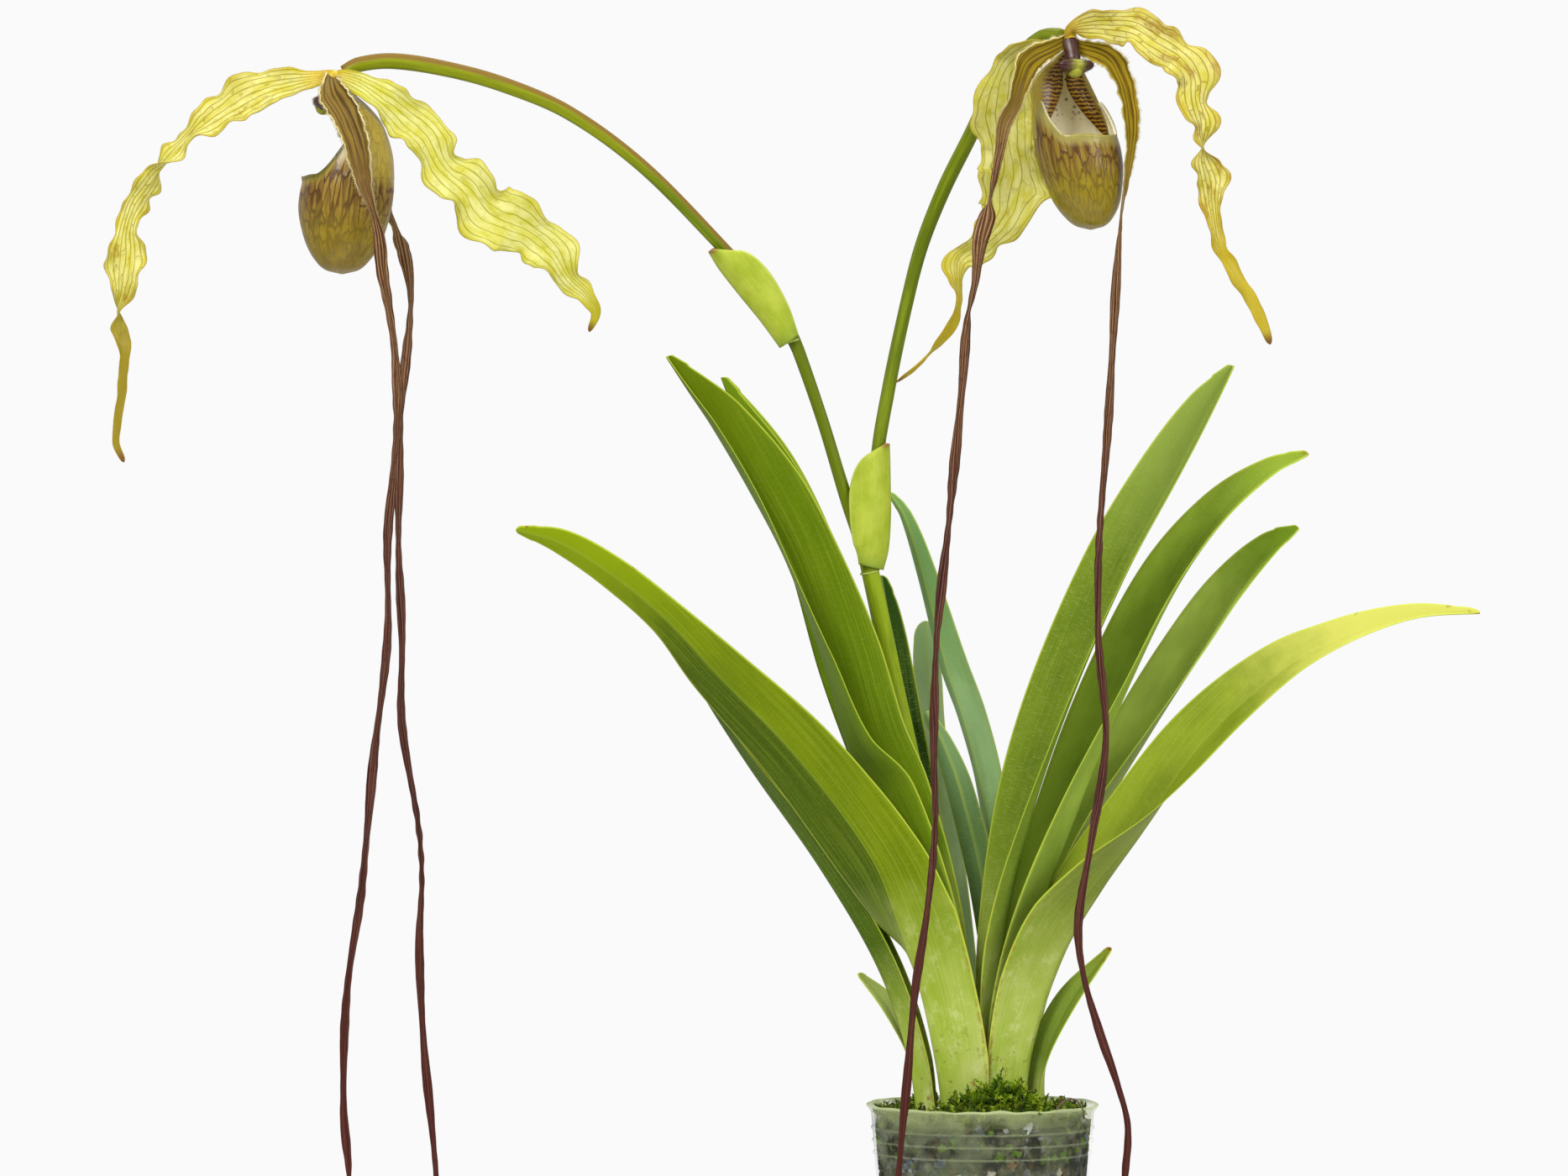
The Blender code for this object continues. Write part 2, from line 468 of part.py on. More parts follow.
def stem(name, stations, steps, finish):
    """A round stem of changing radius with flat ends, its rings carried along without twisting."""
    course = Course(stations)
    points = []
    side = None
    for i in range(steps + 1):
        distance = course.length * i / steps
        x, y, z, radius = course.row(distance)
        along = course.tangent(distance)
        side = along.cross(UP if side is None else side.cross(along)).normalized()
        other = along.cross(side)
        for k in range(STEM_SIDES):
            angle = math.tau * k / STEM_SIDES
            points.append(Vector((x, y, z)) + (side * math.cos(angle) + other * math.sin(angle)) * radius)
    faces = []
    for i in range(steps):
        for k in range(STEM_SIDES):
            a, b = i * STEM_SIDES + k, i * STEM_SIDES + (k + 1) % STEM_SIDES
            faces.append((a, b, b + STEM_SIDES, a + STEM_SIDES))
    faces.append(tuple(range(STEM_SIDES)))
    faces.append(tuple(range(steps * STEM_SIDES, (steps + 1) * STEM_SIDES)))
    return add_object(name, points, faces, finish)


def bract(name, stations):
    """A folded, bulging sheath: its keel follows the stations and its two halves close over a stalk."""
    course = Course(stations)
    steps, columns = 10, 10
    points = []
    for i in range(steps + 1):
        distance = course.length * i / steps
        x, y, z, depth, bulge, turn, closing = course.row(distance)
        _, face, across = course.axes(distance, turn)
        for j in range(columns + 1):
            v = 2 * j / columns - 1
            side = bulge * max(0, math.sin(math.radians(closing) * abs(v))) ** 0.7
            points.append(Vector((x, y, z)) + across * math.copysign(side, v) + face * depth * abs(v))
    return thicken(add_object(name, points, grid_triangles(steps, columns), "bract"), BRACT_THICKNESS)


def pot_radius(z):
    """Outer radius of the tapered wall."""
    neck = POT_HEIGHT - RIM_DEPTH
    return POT_BASE_RADIUS + (POT_NECK_RADIUS - POT_BASE_RADIUS) * min(z, neck) / neck


def turned(name, profile, sides, finish):
    """A closed profile of (radius, height) turned about Z."""
    points = []
    for k in range(sides):
        angle = math.tau * k / sides
        points += [(r * math.cos(angle), r * math.sin(angle), z) for r, z in profile]
    count = len(profile)
    faces = []
    for k in range(sides):
        for i in range(count):
            j, after = (i + 1) % count, (k + 1) % sides
            faces.append((k * count + i, k * count + j, after * count + j, after * count + i))
    obj = add_object(name, points, faces, finish)
    cleaned = bmesh.new()
    cleaned.from_mesh(obj.data)
    bmesh.ops.remove_doubles(cleaned, verts=cleaned.verts, dist=1e-6)
    bmesh.ops.recalc_face_normals(cleaned, faces=cleaned.faces)
    cleaned.to_mesh(obj.data)
    cleaned.free()
    return obj


def pot():
    """The thin clear pot: tapered wall, three fine ribs, flared rim, recessed floor and drain holes."""
    neck = POT_HEIGHT - RIM_DEPTH
    outside = [(POT_BASE_RADIUS, 0)]
    for depth in reversed(RIB_DEPTHS):
        z = POT_HEIGHT - depth
        outside += [(pot_radius(z - 1), z - 1), (pot_radius(z) + RIB_HEIGHT, z), (pot_radius(z + 1), z + 1)]
    outside += [(POT_NECK_RADIUS, neck), (POT_RIM_RADIUS, POT_HEIGHT - 0.8), (POT_RIM_RADIUS, POT_HEIGHT)]
    floor = FOOT_RECESS + POT_WALL
    inside = [
        (POT_NECK_RADIUS - POT_WALL, neck + 0.6),
        (pot_radius(floor) - POT_WALL, floor),
        (0, floor),
        (0, 0),
        (CENTRE_FOOT_RADIUS, 0),
        (CENTRE_FOOT_RADIUS + 1, FOOT_RECESS),
        (POT_BASE_RADIUS - FOOT_WIDTH - 1, FOOT_RECESS),
        (POT_BASE_RADIUS - FOOT_WIDTH, 0),
    ]
    obj = turned("pot", outside + inside, POT_SIDES, "clear_plastic")
    holes = []
    for k in range(DRAIN_HOLES):
        angle = math.tau * (k + 0.5) / DRAIN_HOLES
        bpy.ops.mesh.primitive_cylinder_add(
            vertices=10, radius=DRAIN_RADIUS * MM, depth=8 * MM,
            location=(DRAIN_CIRCLE * math.cos(angle) * MM, DRAIN_CIRCLE * math.sin(angle) * MM, 2 * MM),
        )
        holes.append(bpy.context.object)
    return apply_boolean(obj, holes, "DIFFERENCE")


def recess_edge(angle, grow=0):
    """A point on the oval recess that holds the rhizome, as (x, y)."""
    middle = (RECESS_FRONT + RECESS_BACK) / 2
    half = (RECESS_BACK - RECESS_FRONT) / 2
    return (RECESS_HALF_LENGTH + grow) * math.cos(angle), middle + (half + grow) * math.sin(angle)


def potting_mix():
    """The mix that fills the pot, lumpy on top, with a recess and root holes for the plant."""
    floor = FOOT_RECESS + POT_WALL + CLEAR
    sides, points, rings = 32, [], []
    heights = (floor, 28, 54, MIX_TOP - 1)
    for z in heights:
        radius = pot_radius(z) - POT_WALL - CLEAR
        rings.append([(radius * math.cos(math.tau * k / sides), radius * math.sin(math.tau * k / sides), z)
                      for k in range(sides)])
    outer = rings[-1]
    edge = [recess_edge(math.tau * k / sides) for k in range(sides)]
    for share in (0.35, 0.7):
        ring = []
        for k in range(sides):
            x = outer[k][0] + (edge[k][0] - outer[k][0]) * share
            y = outer[k][1] + (edge[k][1] - outer[k][1]) * share
            ring.append((x, y, MIX_TOP - 0.8 + 1.6 * noise.noise(Vector((x, y, 0)) * 0.21)))
        rings.append(ring)
    rings.append([(x, y, MIX_TOP - 1.2) for x, y in edge])
    rings.append([(x, y, MIX_RECESS) for x, y in edge])
    for ring in rings:
        points += ring
    faces = [tuple(range(sides)), tuple(range(len(points) - sides, len(points)))]
    for i in range(len(rings) - 1):
        for k in range(sides):
            a, b = i * sides + k, i * sides + (k + 1) % sides
            faces += [(a, b, b + sides), (a, b + sides, a + sides)]
    obj = add_object("potting_mix", points, faces, "potting_mix")
    holes = [root("root_hole", x, y, ROOT_RADIUS + CLEAR, ROOT_LENGTH + CLEAR) for x, y in ROOTS]
    return apply_boolean(obj, holes, "DIFFERENCE")


def root(name, x, y, radius, length):
    """A straight root from inside the rhizome down into the mix."""
    bpy.ops.mesh.primitive_cylinder_add(
        vertices=8, radius=radius * MM, depth=(length + 3) * MM,
        location=(x * MM, y * MM, (RHIZOME_BOTTOM + 3 - (length + 3) / 2) * MM),
    )
    bpy.context.object.name = name
    return bpy.context.object


def rhizome():
    """The short creeping stem that every leaf and the flower stem grow from, with its roots."""
    lobes = []
    for x, y, length, breadth in RHIZOME_LOBES:
        bpy.ops.mesh.primitive_cylinder_add(
            vertices=20, radius=1, depth=(RHIZOME_TOP - RHIZOME_BOTTOM) * MM,
            location=(x * MM, y * MM, (RHIZOME_TOP + RHIZOME_BOTTOM) / 2 * MM),
        )
        lobe = bpy.context.object
        lobe.scale = (length * MM, breadth * MM, 1)
        bpy.ops.object.transform_apply(location=False, rotation=False, scale=True)
        lobes.append(lobe)
    body = lobes[0]
    body.name = body.data.name = "rhizome"
    body.data.materials.append(material("rhizome"))
    roots = [root("root", x, y, ROOT_RADIUS, ROOT_LENGTH) for x, y in ROOTS]
    return apply_boolean(body, lobes[1:] + roots, "UNION")


def moss_height(x, y):
    """Top of the moss: a mound in front of the leaves, lower and patchy towards the rim."""
    mound = 11 * math.exp(-(((x - 6) / 17) ** 2 + ((y + 22) / 10) ** 2))
    tufts = 2.2 * noise.noise(Vector((x, y, 3)) * 0.33) + 1.6 * noise.noise(Vector((x, y, 9)) * 0.8)
    return MOSS_BOTTOM + 2.6 + mound + tufts


def moss():
    """A ragged cushion of moss round the foot of the plant, with tufts standing out of it."""
    sides, across, grow = 48, 5, 0.5
    points = []
    for i in range(across + 1):
        for k in range(sides):
            angle = math.tau * k / sides
            inner = recess_edge(angle, grow)
            outer_radius = pot_radius(MOSS_BOTTOM) - POT_WALL - CLEAR - 1.5
            share = i / across
            x = inner[0] + (outer_radius * math.cos(angle) - inner[0]) * share
            y = inner[1] + (outer_radius * math.sin(angle) - inner[1]) * share
            tuft = 1.8 if (i + k) % 2 and 0 < i < across else 0
            drop = 2.2 if i == across else 0
            points.append((x, y, moss_height(x, y) + tuft - drop))
    faces = []
    for i in range(across):
        for k in range(sides):
            a, b = i * sides + k, i * sides + (k + 1) % sides
            faces += [(a, b, b + sides), (a, b + sides, a + sides)]
    low = len(points)
    points += [(x, y, MOSS_BOTTOM) for x, y, z in points[:sides] + points[across * sides :]]
    for k in range(sides):
        a, b = k, (k + 1) % sides
        top_a, top_b = across * sides + a, across * sides + b
        faces += [(a, b, low + b, low + a), (top_a, top_b, low + sides + b, low + sides + a)]
        faces.append((low + a, low + b, low + sides + b, low + sides + a))
    return add_object("moss", points, faces, "moss")


def flower_axes(side):
    """Forward, sideways and down of a flower. Down leans sideways as the lip hangs."""
    heading = math.radians(FLOWERS[side]["heading"])
    forward = Vector((math.sin(heading), -math.cos(heading), 0))
    sideways = Vector((math.cos(heading), math.sin(heading), 0))
    return forward, sideways, sideways * math.tan(math.radians(FLOWERS[side]["lean"])) - UP


def lip_ring(depth, back, front, half_breadth, angle):
    """(forward, sideways, depth) on the pouch's wall. Angle 0 is the front of the ring."""
    middle, reach = (front + back) / 2, (front - back) / 2
    return middle + reach * math.cos(angle), half_breadth * math.sin(angle), depth


def lip(side):
    """The slipper: a rounded pouch, a high back wall and two side lobes folded in over its mouth."""
    place, size = Vector(FLOWERS[side]["place"]), FLOWERS[side]["size"]
    forward, sideways, down = flower_axes(side)
    step = math.tau / LIP_AROUND
    points, rows, faces = [], [], []

    def add(f, s, depth):
        points.append(place + (forward * f + sideways * s + down * depth) * size)
        return len(points) - 1

    open_front = range(LIP_OPEN_COLUMNS, LIP_AROUND - LIP_OPEN_COLUMNS + 1)
    for depth, back, half_breadth in LIP_ABOVE_RIM:
        front = back + 2 * half_breadth * 0.95
        rows.append([add(*lip_ring(depth, back, front, half_breadth, j * step)) for j in open_front])
    for upper, lower in zip(rows, rows[1:]):
        for j in range(len(upper) - 1):
            faces += [(upper[j], upper[j + 1], lower[j + 1]), (upper[j], lower[j + 1], lower[j])]
    rings = [[add(*lip_ring(*row, j * step)) for j in range(LIP_AROUND)] for row in LIP_BELOW_RIM]
    rim = [rings[0][j] for j in open_front]
    for j in range(len(rim) - 1):
        faces += [(rows[-1][j], rows[-1][j + 1], rim[j + 1]), (rows[-1][j], rim[j + 1], rim[j])]
    for upper, lower in zip(rings, rings[1:]):
        for j in range(LIP_AROUND):
            k = (j + 1) % LIP_AROUND
            faces += [(upper[j], upper[k], lower[k]), (upper[j], lower[k], lower[j])]
    foot = add(LIP_BOTTOM[1], 0, LIP_BOTTOM[0])
    faces += [(rings[-1][j], rings[-1][(j + 1) % LIP_AROUND], foot) for j in range(LIP_AROUND)]
    for end, sign in ((0, 1), (-1, -1)):
        walls = [row[end] for row in rows] + [rim[end]]
        lobe = []
        for (depth, back, half_breadth), wall in zip(LIP_ABOVE_RIM, walls):
            spread = max(0, (depth - LOBE_TOP) / (LIP_RIM - LOBE_TOP)) ** 1.2
            inner = LOBE_SLIT / 2 + spread * half_breadth * 0.86
            lobe.append(add(back + half_breadth * 0.95 - 1.5, sign * inner, depth))
        for i in range(len(lobe) - 1):
            faces += [(walls[i], walls[i + 1], lobe[i + 1]), (walls[i], lobe[i + 1], lobe[i])]
        faces.append((walls[-2], walls[-1], lobe[-1]))
    return thicken(add_object(f"lip_{side}", points, faces, "lip"), LIP_THICKNESS)


def column(side):
    """The knob that the flower's parts meet at, and the column with its broad shield over the mouth."""
    place = Vector(FLOWERS[side]["place"])
    forward, sideways, _ = flower_axes(side)
    axis = (forward * 0.4 - UP * 0.92).normalized()
    tip = place + axis * COLUMN_LENGTH
    turn = Matrix((sideways, axis, sideways.cross(axis))).transposed().to_4x4()
    bpy.ops.mesh.primitive_cylinder_add(vertices=10, radius=COLUMN_RADIUS * MM, depth=COLUMN_LENGTH * MM)
    stalk = bpy.context.object
    stalk.matrix_world = (
        Matrix.Translation((place + tip) / 2 * MM) @ turn @ Matrix.Rotation(math.pi / 2, 4, "X")
    )
    bpy.ops.mesh.primitive_uv_sphere_add(segments=14, ring_count=8, radius=MM)
    shield = bpy.context.object
    for vertex in shield.data.vertices:
        droop = 1.4 * (vertex.co.x / MM) ** 2
        pinch = 1 - 0.35 * abs(vertex.co.x / MM)
        vertex.co.x *= SHIELD_HALF_BREADTH
        vertex.co.y *= SHIELD_HALF_THICKNESS
        vertex.co.z = (vertex.co.z * SHIELD_HALF_HEIGHT * pinch) - droop * MM
    shield.matrix_world = Matrix.Translation(tip * MM) @ turn
    bpy.ops.mesh.primitive_uv_sphere_add(segments=14, ring_count=9, radius=KNOB_RADIUS * MM)
    knob = bpy.context.object
    knob.matrix_world = Matrix.Translation(place * MM)
    bpy.ops.mesh.primitive_uv_sphere_add(segments=10, ring_count=6, radius=2.3 * MM)
    boss = bpy.context.object
    boss.matrix_world = Matrix.Translation((tip + axis * 1.3 + sideways.cross(axis) * 0.6) * MM)
    stalk.name = stalk.data.name = f"column_{side}"
    stalk.data.materials.append(material("column"))
    bpy.context.view_layer.update()
    return apply_boolean(stalk, [knob, shield, boss], "UNION")


def build():
    clear_scene()
    pot()
    potting_mix()
    rhizome()
    moss()
    for name, stations in LEAVES.items():
        leaf(name, stations)
    stem("flower_stem", SCAPE, 22, "stem")
    stem("ovary_right", OVARY_RIGHT, 22, "stem")
    stem("ovary_left", OVARY_LEFT, 18, "stem")
    for name, stations in BRACTS.items():
        bract(name, stations)
    for name, stations in SEPALS.items():
        wave = SEPAL_WAVES[name]
        blade(name, stations, SEPAL_STEPS, SEPAL_COLUMNS, curled, SEPAL_THICKNESS, "sepal", wave)
    for name, stations in PETALS.items():
        blade(name, stations, PETAL_STEPS, PETAL_COLUMNS, curled, PETAL_THICKNESS, "petal", PETAL_WAVE)
    for side in FLOWERS:
        lip(side)
        column(side)


build()
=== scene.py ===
"""The look of the potted slipper orchid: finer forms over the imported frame, their materials and the studio.

Lengths are in millimetres until a mesh is made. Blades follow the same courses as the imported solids.
"""

import math

import bmesh
import bpy
import numpy as np
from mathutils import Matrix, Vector, noise


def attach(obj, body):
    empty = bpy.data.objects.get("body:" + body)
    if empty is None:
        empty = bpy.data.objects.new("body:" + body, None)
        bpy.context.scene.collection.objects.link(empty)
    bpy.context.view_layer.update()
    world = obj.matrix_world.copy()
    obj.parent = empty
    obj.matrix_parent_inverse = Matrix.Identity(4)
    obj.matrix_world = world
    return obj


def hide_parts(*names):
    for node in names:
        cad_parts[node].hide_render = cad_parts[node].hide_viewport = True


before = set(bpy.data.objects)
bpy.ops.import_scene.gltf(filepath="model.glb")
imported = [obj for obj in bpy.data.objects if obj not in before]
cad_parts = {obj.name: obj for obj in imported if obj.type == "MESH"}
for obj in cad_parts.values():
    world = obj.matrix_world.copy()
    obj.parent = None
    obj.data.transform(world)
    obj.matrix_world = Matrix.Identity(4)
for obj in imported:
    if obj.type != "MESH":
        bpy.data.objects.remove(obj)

MM = 0.001
TOWARDS_VIEWER = np.array((0.0, -1.0, 0.0))
UP = np.array((0.0, 0.0, 1.0))
TAU = math.tau
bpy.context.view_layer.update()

# ---- sizes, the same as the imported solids' ----
POT_HEIGHT = 82
POT_RIM_RADIUS = 45
POT_NECK_RADIUS = 43.2
POT_BASE_RADIUS = 37
POT_WALL = 1.0
RIM_DEPTH = 3.2
POT_NECK = POT_HEIGHT - RIM_DEPTH
RIB_DEPTHS = (8.6, 13.4, 18.2)
RIB_HALF = 1.1
RIB_SHAPE = ((-0.35, 0.4), (0, 0.5), (0.35, 0.4))  # above its middle, out from the wall
FOOT_RECESS = 1.5
FOOT_WIDTH = 4
MOSS_BOTTOM = 77.0
RECESS = (33, -18, 36)  # half length, front, back
LEAF_BASE = 76.75
DRAIN_HOLES = 6
DRAIN_RADIUS = 3.5
DRAIN_CIRCLE = 22
CENTRE_FOOT_RADIUS = 9
RHIZOME_LOBES = ((0, -3, 27, 11), (1, 23, 21, 11), (0, 8, 30, 11))  # x, y, half length, half breadth
ROOTS = ((-15, -4), (13, -5), (-6, 20), (12, 24))
MIX_REACH = 40.5  # how far from the middle loose pieces lie
MOSS_REACH = 40
WALL_CHIPS, TOP_CHIPS = 1500, 420
SHOOTS, TUFTS = 620, 240

# Leaf stations are (x, y, z, half width, left, right). The first three place the keel. left and right
# are the angles at which the two halves stand out of the picture plane towards the viewer, in degrees:
# at 90 a half is seen edge on and past 90 it swings across the other half and shows its outer side.
LEAVES = {
    "leaf_left_low": (
        (-15, -4, LEAF_BASE, 15.5, 155, -25), (-18, -6, 98, 18, 158, -32), (-24, -10, 126, 18.5, 160, -66),
        (-32.5, -13, 152, 18.5, 161, -112), (-43, -15.5, 178, 18.5, 162, -138),
        (-71, -19, 216, 16.8, 162, -142), (-104, -22, 250.5, 12.9, 156, -140),
        (-122, -24, 270, 8.6, 156, -140), (-143, -25, 287.5, 7.4, 156, -140),
        (-162.5, -26, 299.5, 5.8, 156, -140), (-179.5, -27, 304.5, 1.4, 158, -140),
    ),
    "leaf_left_tall": (
        (-10.8, -4, LEAF_BASE, 9.6, 156, -24), (-14, -4, 110, 12, 152, -18), (-24, -4, 150, 18, 152, -4),
        (-43, -5, 200, 24, 140, 8), (-52.5, -6, 222, 24.5, 114, 10), (-62, -7, 255, 24, 100, 12),
        (-75.5, -9, 292, 21, 93, 12), (-89, -11, 318, 20, 97, 10), (-104.5, -13, 344.5, 14.5, 97, 8),
        (-113.5, -15, 358, 9, 94, 6), (-122, -16, 371, 1.8, 90, 6),
    ),
    "leaf_left_inner": (
        (-15, 9, LEAF_BASE, 4.5, 150, -25), (-18.5, 10.5, 110, 6, 152, -16), (-30.5, 10, 158, 8.5, 158, -6),
        (-47, 7, 205, 13, 162, 2), (-62.5, 4, 248, 18.5, 162, 6), (-72.5, 2, 284, 21, 162, 8),
        (-80.5, 1, 309, 19, 162, 8), (-90, 0, 334, 14, 162, 6), (-101, 0, 363.5, 1.8, 162, 6),
    ),
    "leaf_left_outer": (
        (-25, 4, LEAF_BASE, 8.5, 154, -22), (-28.5, 7, 100, 9.5, 145, -22), (-40, 12, 134, 10.5, 135, -24),
        (-62, 15, 172, 12, 125, -24), (-90, 16, 212, 11, 112, -26), (-108, 15, 240, 7, 104, -30),
        (-119, 14, 260, 1.8, 98, -34),
    ),
    "leaf_left_small": (
        (-24, 14, LEAF_BASE, 4.5, 135, -25), (-27.5, 15, 97, 6, 94, -26), (-37, 16, 119, 5.5, 70, -30),
        (-48, 16, 132, 1.4, 64, -36),
    ),
    "leaf_right_tall": (
        (4.2, -4, LEAF_BASE, 4, -24, 156), (4.6, -4, 108, 7.5, -22, 146), (7.5, -5, 146, 11, -20, 128),
        (19, -8, 196, 15.5, -16, 106), (35, -11, 243, 18, -12, 95), (55, -13, 289, 18, -10, 92),
        (75, -14, 326, 15.5, -8, 92), (88, -15, 352, 9.6, -6, 88), (96, -15, 367.5, 1.8, -6, 84),
    ),
    "leaf_right_second": (
        (8, -4, LEAF_BASE, 7.2, -24, 156), (9.5, -4, 108, 10.5, -22, 146), (18.5, -4, 147, 14, -20, 134),
        (36.5, -4, 196, 17, -18, 120), (56, -4, 244, 18, -14, 100), (75, -3, 283, 16.5, -12, 94),
        (94, -2, 310, 12, -12, 90), (112, -1, 327, 6, -10, 82), (126, -1, 334, 1.5, -10, 72),
    ),
    "leaf_right_third": (
        (17, 4, LEAF_BASE, 7, -25, 150), (20, 5, 106, 9, -24, 146), (29.5, 8, 150, 12, -22, 134),
        (44, 9.5, 189, 15, -20, 112), (66, 10, 227, 16, -18, 98), (85, 10, 257, 15.5, -16, 92),
        (99, 10, 279, 13, -14, 88), (113, 10, 297, 8, -12, 80), (123, 10, 305.5, 1.5, -12, 70),
    ),
    "leaf_right_low": (
        (15.6, -4, LEAF_BASE, 15, -25, 155), (18.8, -5, 104, 17, -24, 155), (31, -9, 141, 19, -26, 148),
        (45.5, -11, 166, 19.5, -22, 132), (62, -13, 189.5, 19, -15, 106), (79.8, -16, 217, 16, -14, 76),
        (96.5, -18, 235, 14.2, -14, 72), (116.5, -20, 251.5, 11.5, -14, 73), (131.5, -21, 260, 9, -14, 74),
        (149, -22, 267, 7.2, -12, 77), (168, -23, 271.5, 5, -8, 83), (190, -23, 272.5, 1.4, -4, 88),
    ),
    "leaf_right_narrow": (
        (19, 13.5, LEAF_BASE, 5, -25, 150), (20.5, 14.5, 100, 6.5, -22, 150), (26, 16, 125, 7.5, -20, 150),
        (33.5, 17.5, 149, 8, -18, 150), (43, 18, 176, 6, -16, 150), (53, 18, 198, 1.6, -14, 140),
    ),
    "leaf_right_small": (
        (24, -1, LEAF_BASE, 6, -20, 120), (24, -2, 98, 7.5, -22, 90), (33.5, -3, 121, 7.2, -24, 74),
        (49.5, -4, 143, 1.6, -30, 66),
    ),
    "leaf_back_dark": (
        (-11, 20, LEAF_BASE, 6, 120, 0), (-16, 23, 140, 8.5, 80, 0), (-26.5, 27, 205, 8.5, 52, -4),
        (-33.5, 29, 254, 6.6, 44, -6), (-36.8, 30, 274, 5, 42, -6), (-39, 30, 287, 1.8, 40, -6),
    ),
    "leaf_back_long": (
        (13, 20, LEAF_BASE, 5, -80, -28), (11, 25, 130, 8, -80, -28), (0.3, 32, 205, 9.8, -82, -26),
        (-6.3, 35, 231, 10, -80, -24), (-13, 37, 251, 9.4, -76, -22), (-22.4, 39, 287.5, 6, -70, -20),
        (-29.5, 40, 310, 3.4, -64, -20), (-35.6, 40, 319.5, 1.2, -60, -20),
    ),
    "leaf_back_round": (
        (-2, 29, LEAF_BASE, 5, -20, -20), (-7, 39, 135, 6, -16, -16), (-13, 50, 185, 6, -12, -12),
        (-18.3, 55, 224, 5.5, -10, -10), (-20.2, 57, 250, 5.6, -10, -10), (-20.8, 57.5, 263, 4.6, -10, -10),
        (-20.8, 57.5, 269, 2.4, -10, -10),
    ),
    "leaf_back_short": (
        (6, 15, LEAF_BASE, 5, -40, -40), (6.5, 16, 120, 6, -36, -36), (1, 17, 165, 6.5, -32, -32),
        (-8, 18, 203, 6, -30, -30), (-15, 19, 222, 4.2, -30, -30), (-21.5, 19, 234, 1.6, -30, -30),
    ),
}

# Stems are (x, y, z, radius).
SCAPE = (
    (-2, 10, LEAF_BASE, 3.9), (-8, 12.5, 120, 3.8), (-20, 14.5, 180, 3.7), (-33, 12.5, 240, 3.6),
    (-42.5, 5.8, 284, 3.5), (-46, 5, 298, 3.1), (-52.5, 4.4, 316, 2.6), (-62, 3, 347, 2.3),
    (-71, 1, 373, 2.4), (-73.6, 0.5, 379, 2.6),
)
OVARY_RIGHT = (
    (-41, 4.2, 299, 2.5), (-41, 4, 330, 2.5), (-36.4, 4, 359, 2.5), (-29.8, 3.5, 390.5, 2.5),
    (-23.8, 1, 414, 2.6), (-15.4, -5, 435.5, 2.7), (-6.2, -14, 454, 2.8), (2.6, -28, 471, 2.9),
    (12, -44, 483, 3.0), (21, -60, 490, 3.1), (26.2, -67.2, 490.2, 2.9), (27.9, -69.4, 489.6, 2.7),
)
OVARY_LEFT = (
    (-73.9, 0.4, 379.6, 2.5), (-83, -1, 394, 2.4), (-102, -4, 415, 2.4), (-132, -9, 445, 2.6),
    (-160, -14, 465, 2.8), (-185, -18, 475.5, 3.0), (-207, -21, 481.3, 3.1), (-227, -24, 484, 3.1),
    (-240, -25.5, 482.5, 3.0), (-245.5, -26, 479.5, 2.8),
)

# Sheathing bracts are (x, y, z, depth, turn, half thickness, closing): the keel's place, the folded
# bract's depth, its turn, its bulge and how far round its two halves reach, in degrees.
BRACTS = {
    "bract_lower": (
        (-38.6, 5.2, 289, 9.6, -90, 5.4, 112), (-36.6, 4.8, 297, 13.5, -90, 6.2, 116),
        (-35.7, 4.3, 310, 15.8, -90, 6.2, 124), (-35.8, 4, 322, 15.4, -90, 5.6, 146),
        (-36, 3.9, 332, 11, -90, 5, 138), (-36.2, 3.8, 338, 1.6, -90, 4, 110),
    ),
    "bract_upper": (
        (-78.3, 0.3, 375, 8.6, 89, 4.4, 150), (-86, -1, 385.5, 12.5, 89, 4.9, 154),
        (-95, -2.6, 396.5, 14.5, 89, 4.9, 156), (-102, -4, 405.5, 11.5, 89, 5.2, 146),
        (-106, -4.6, 412, 2.2, 89, 4.4, 110),
    ),
}

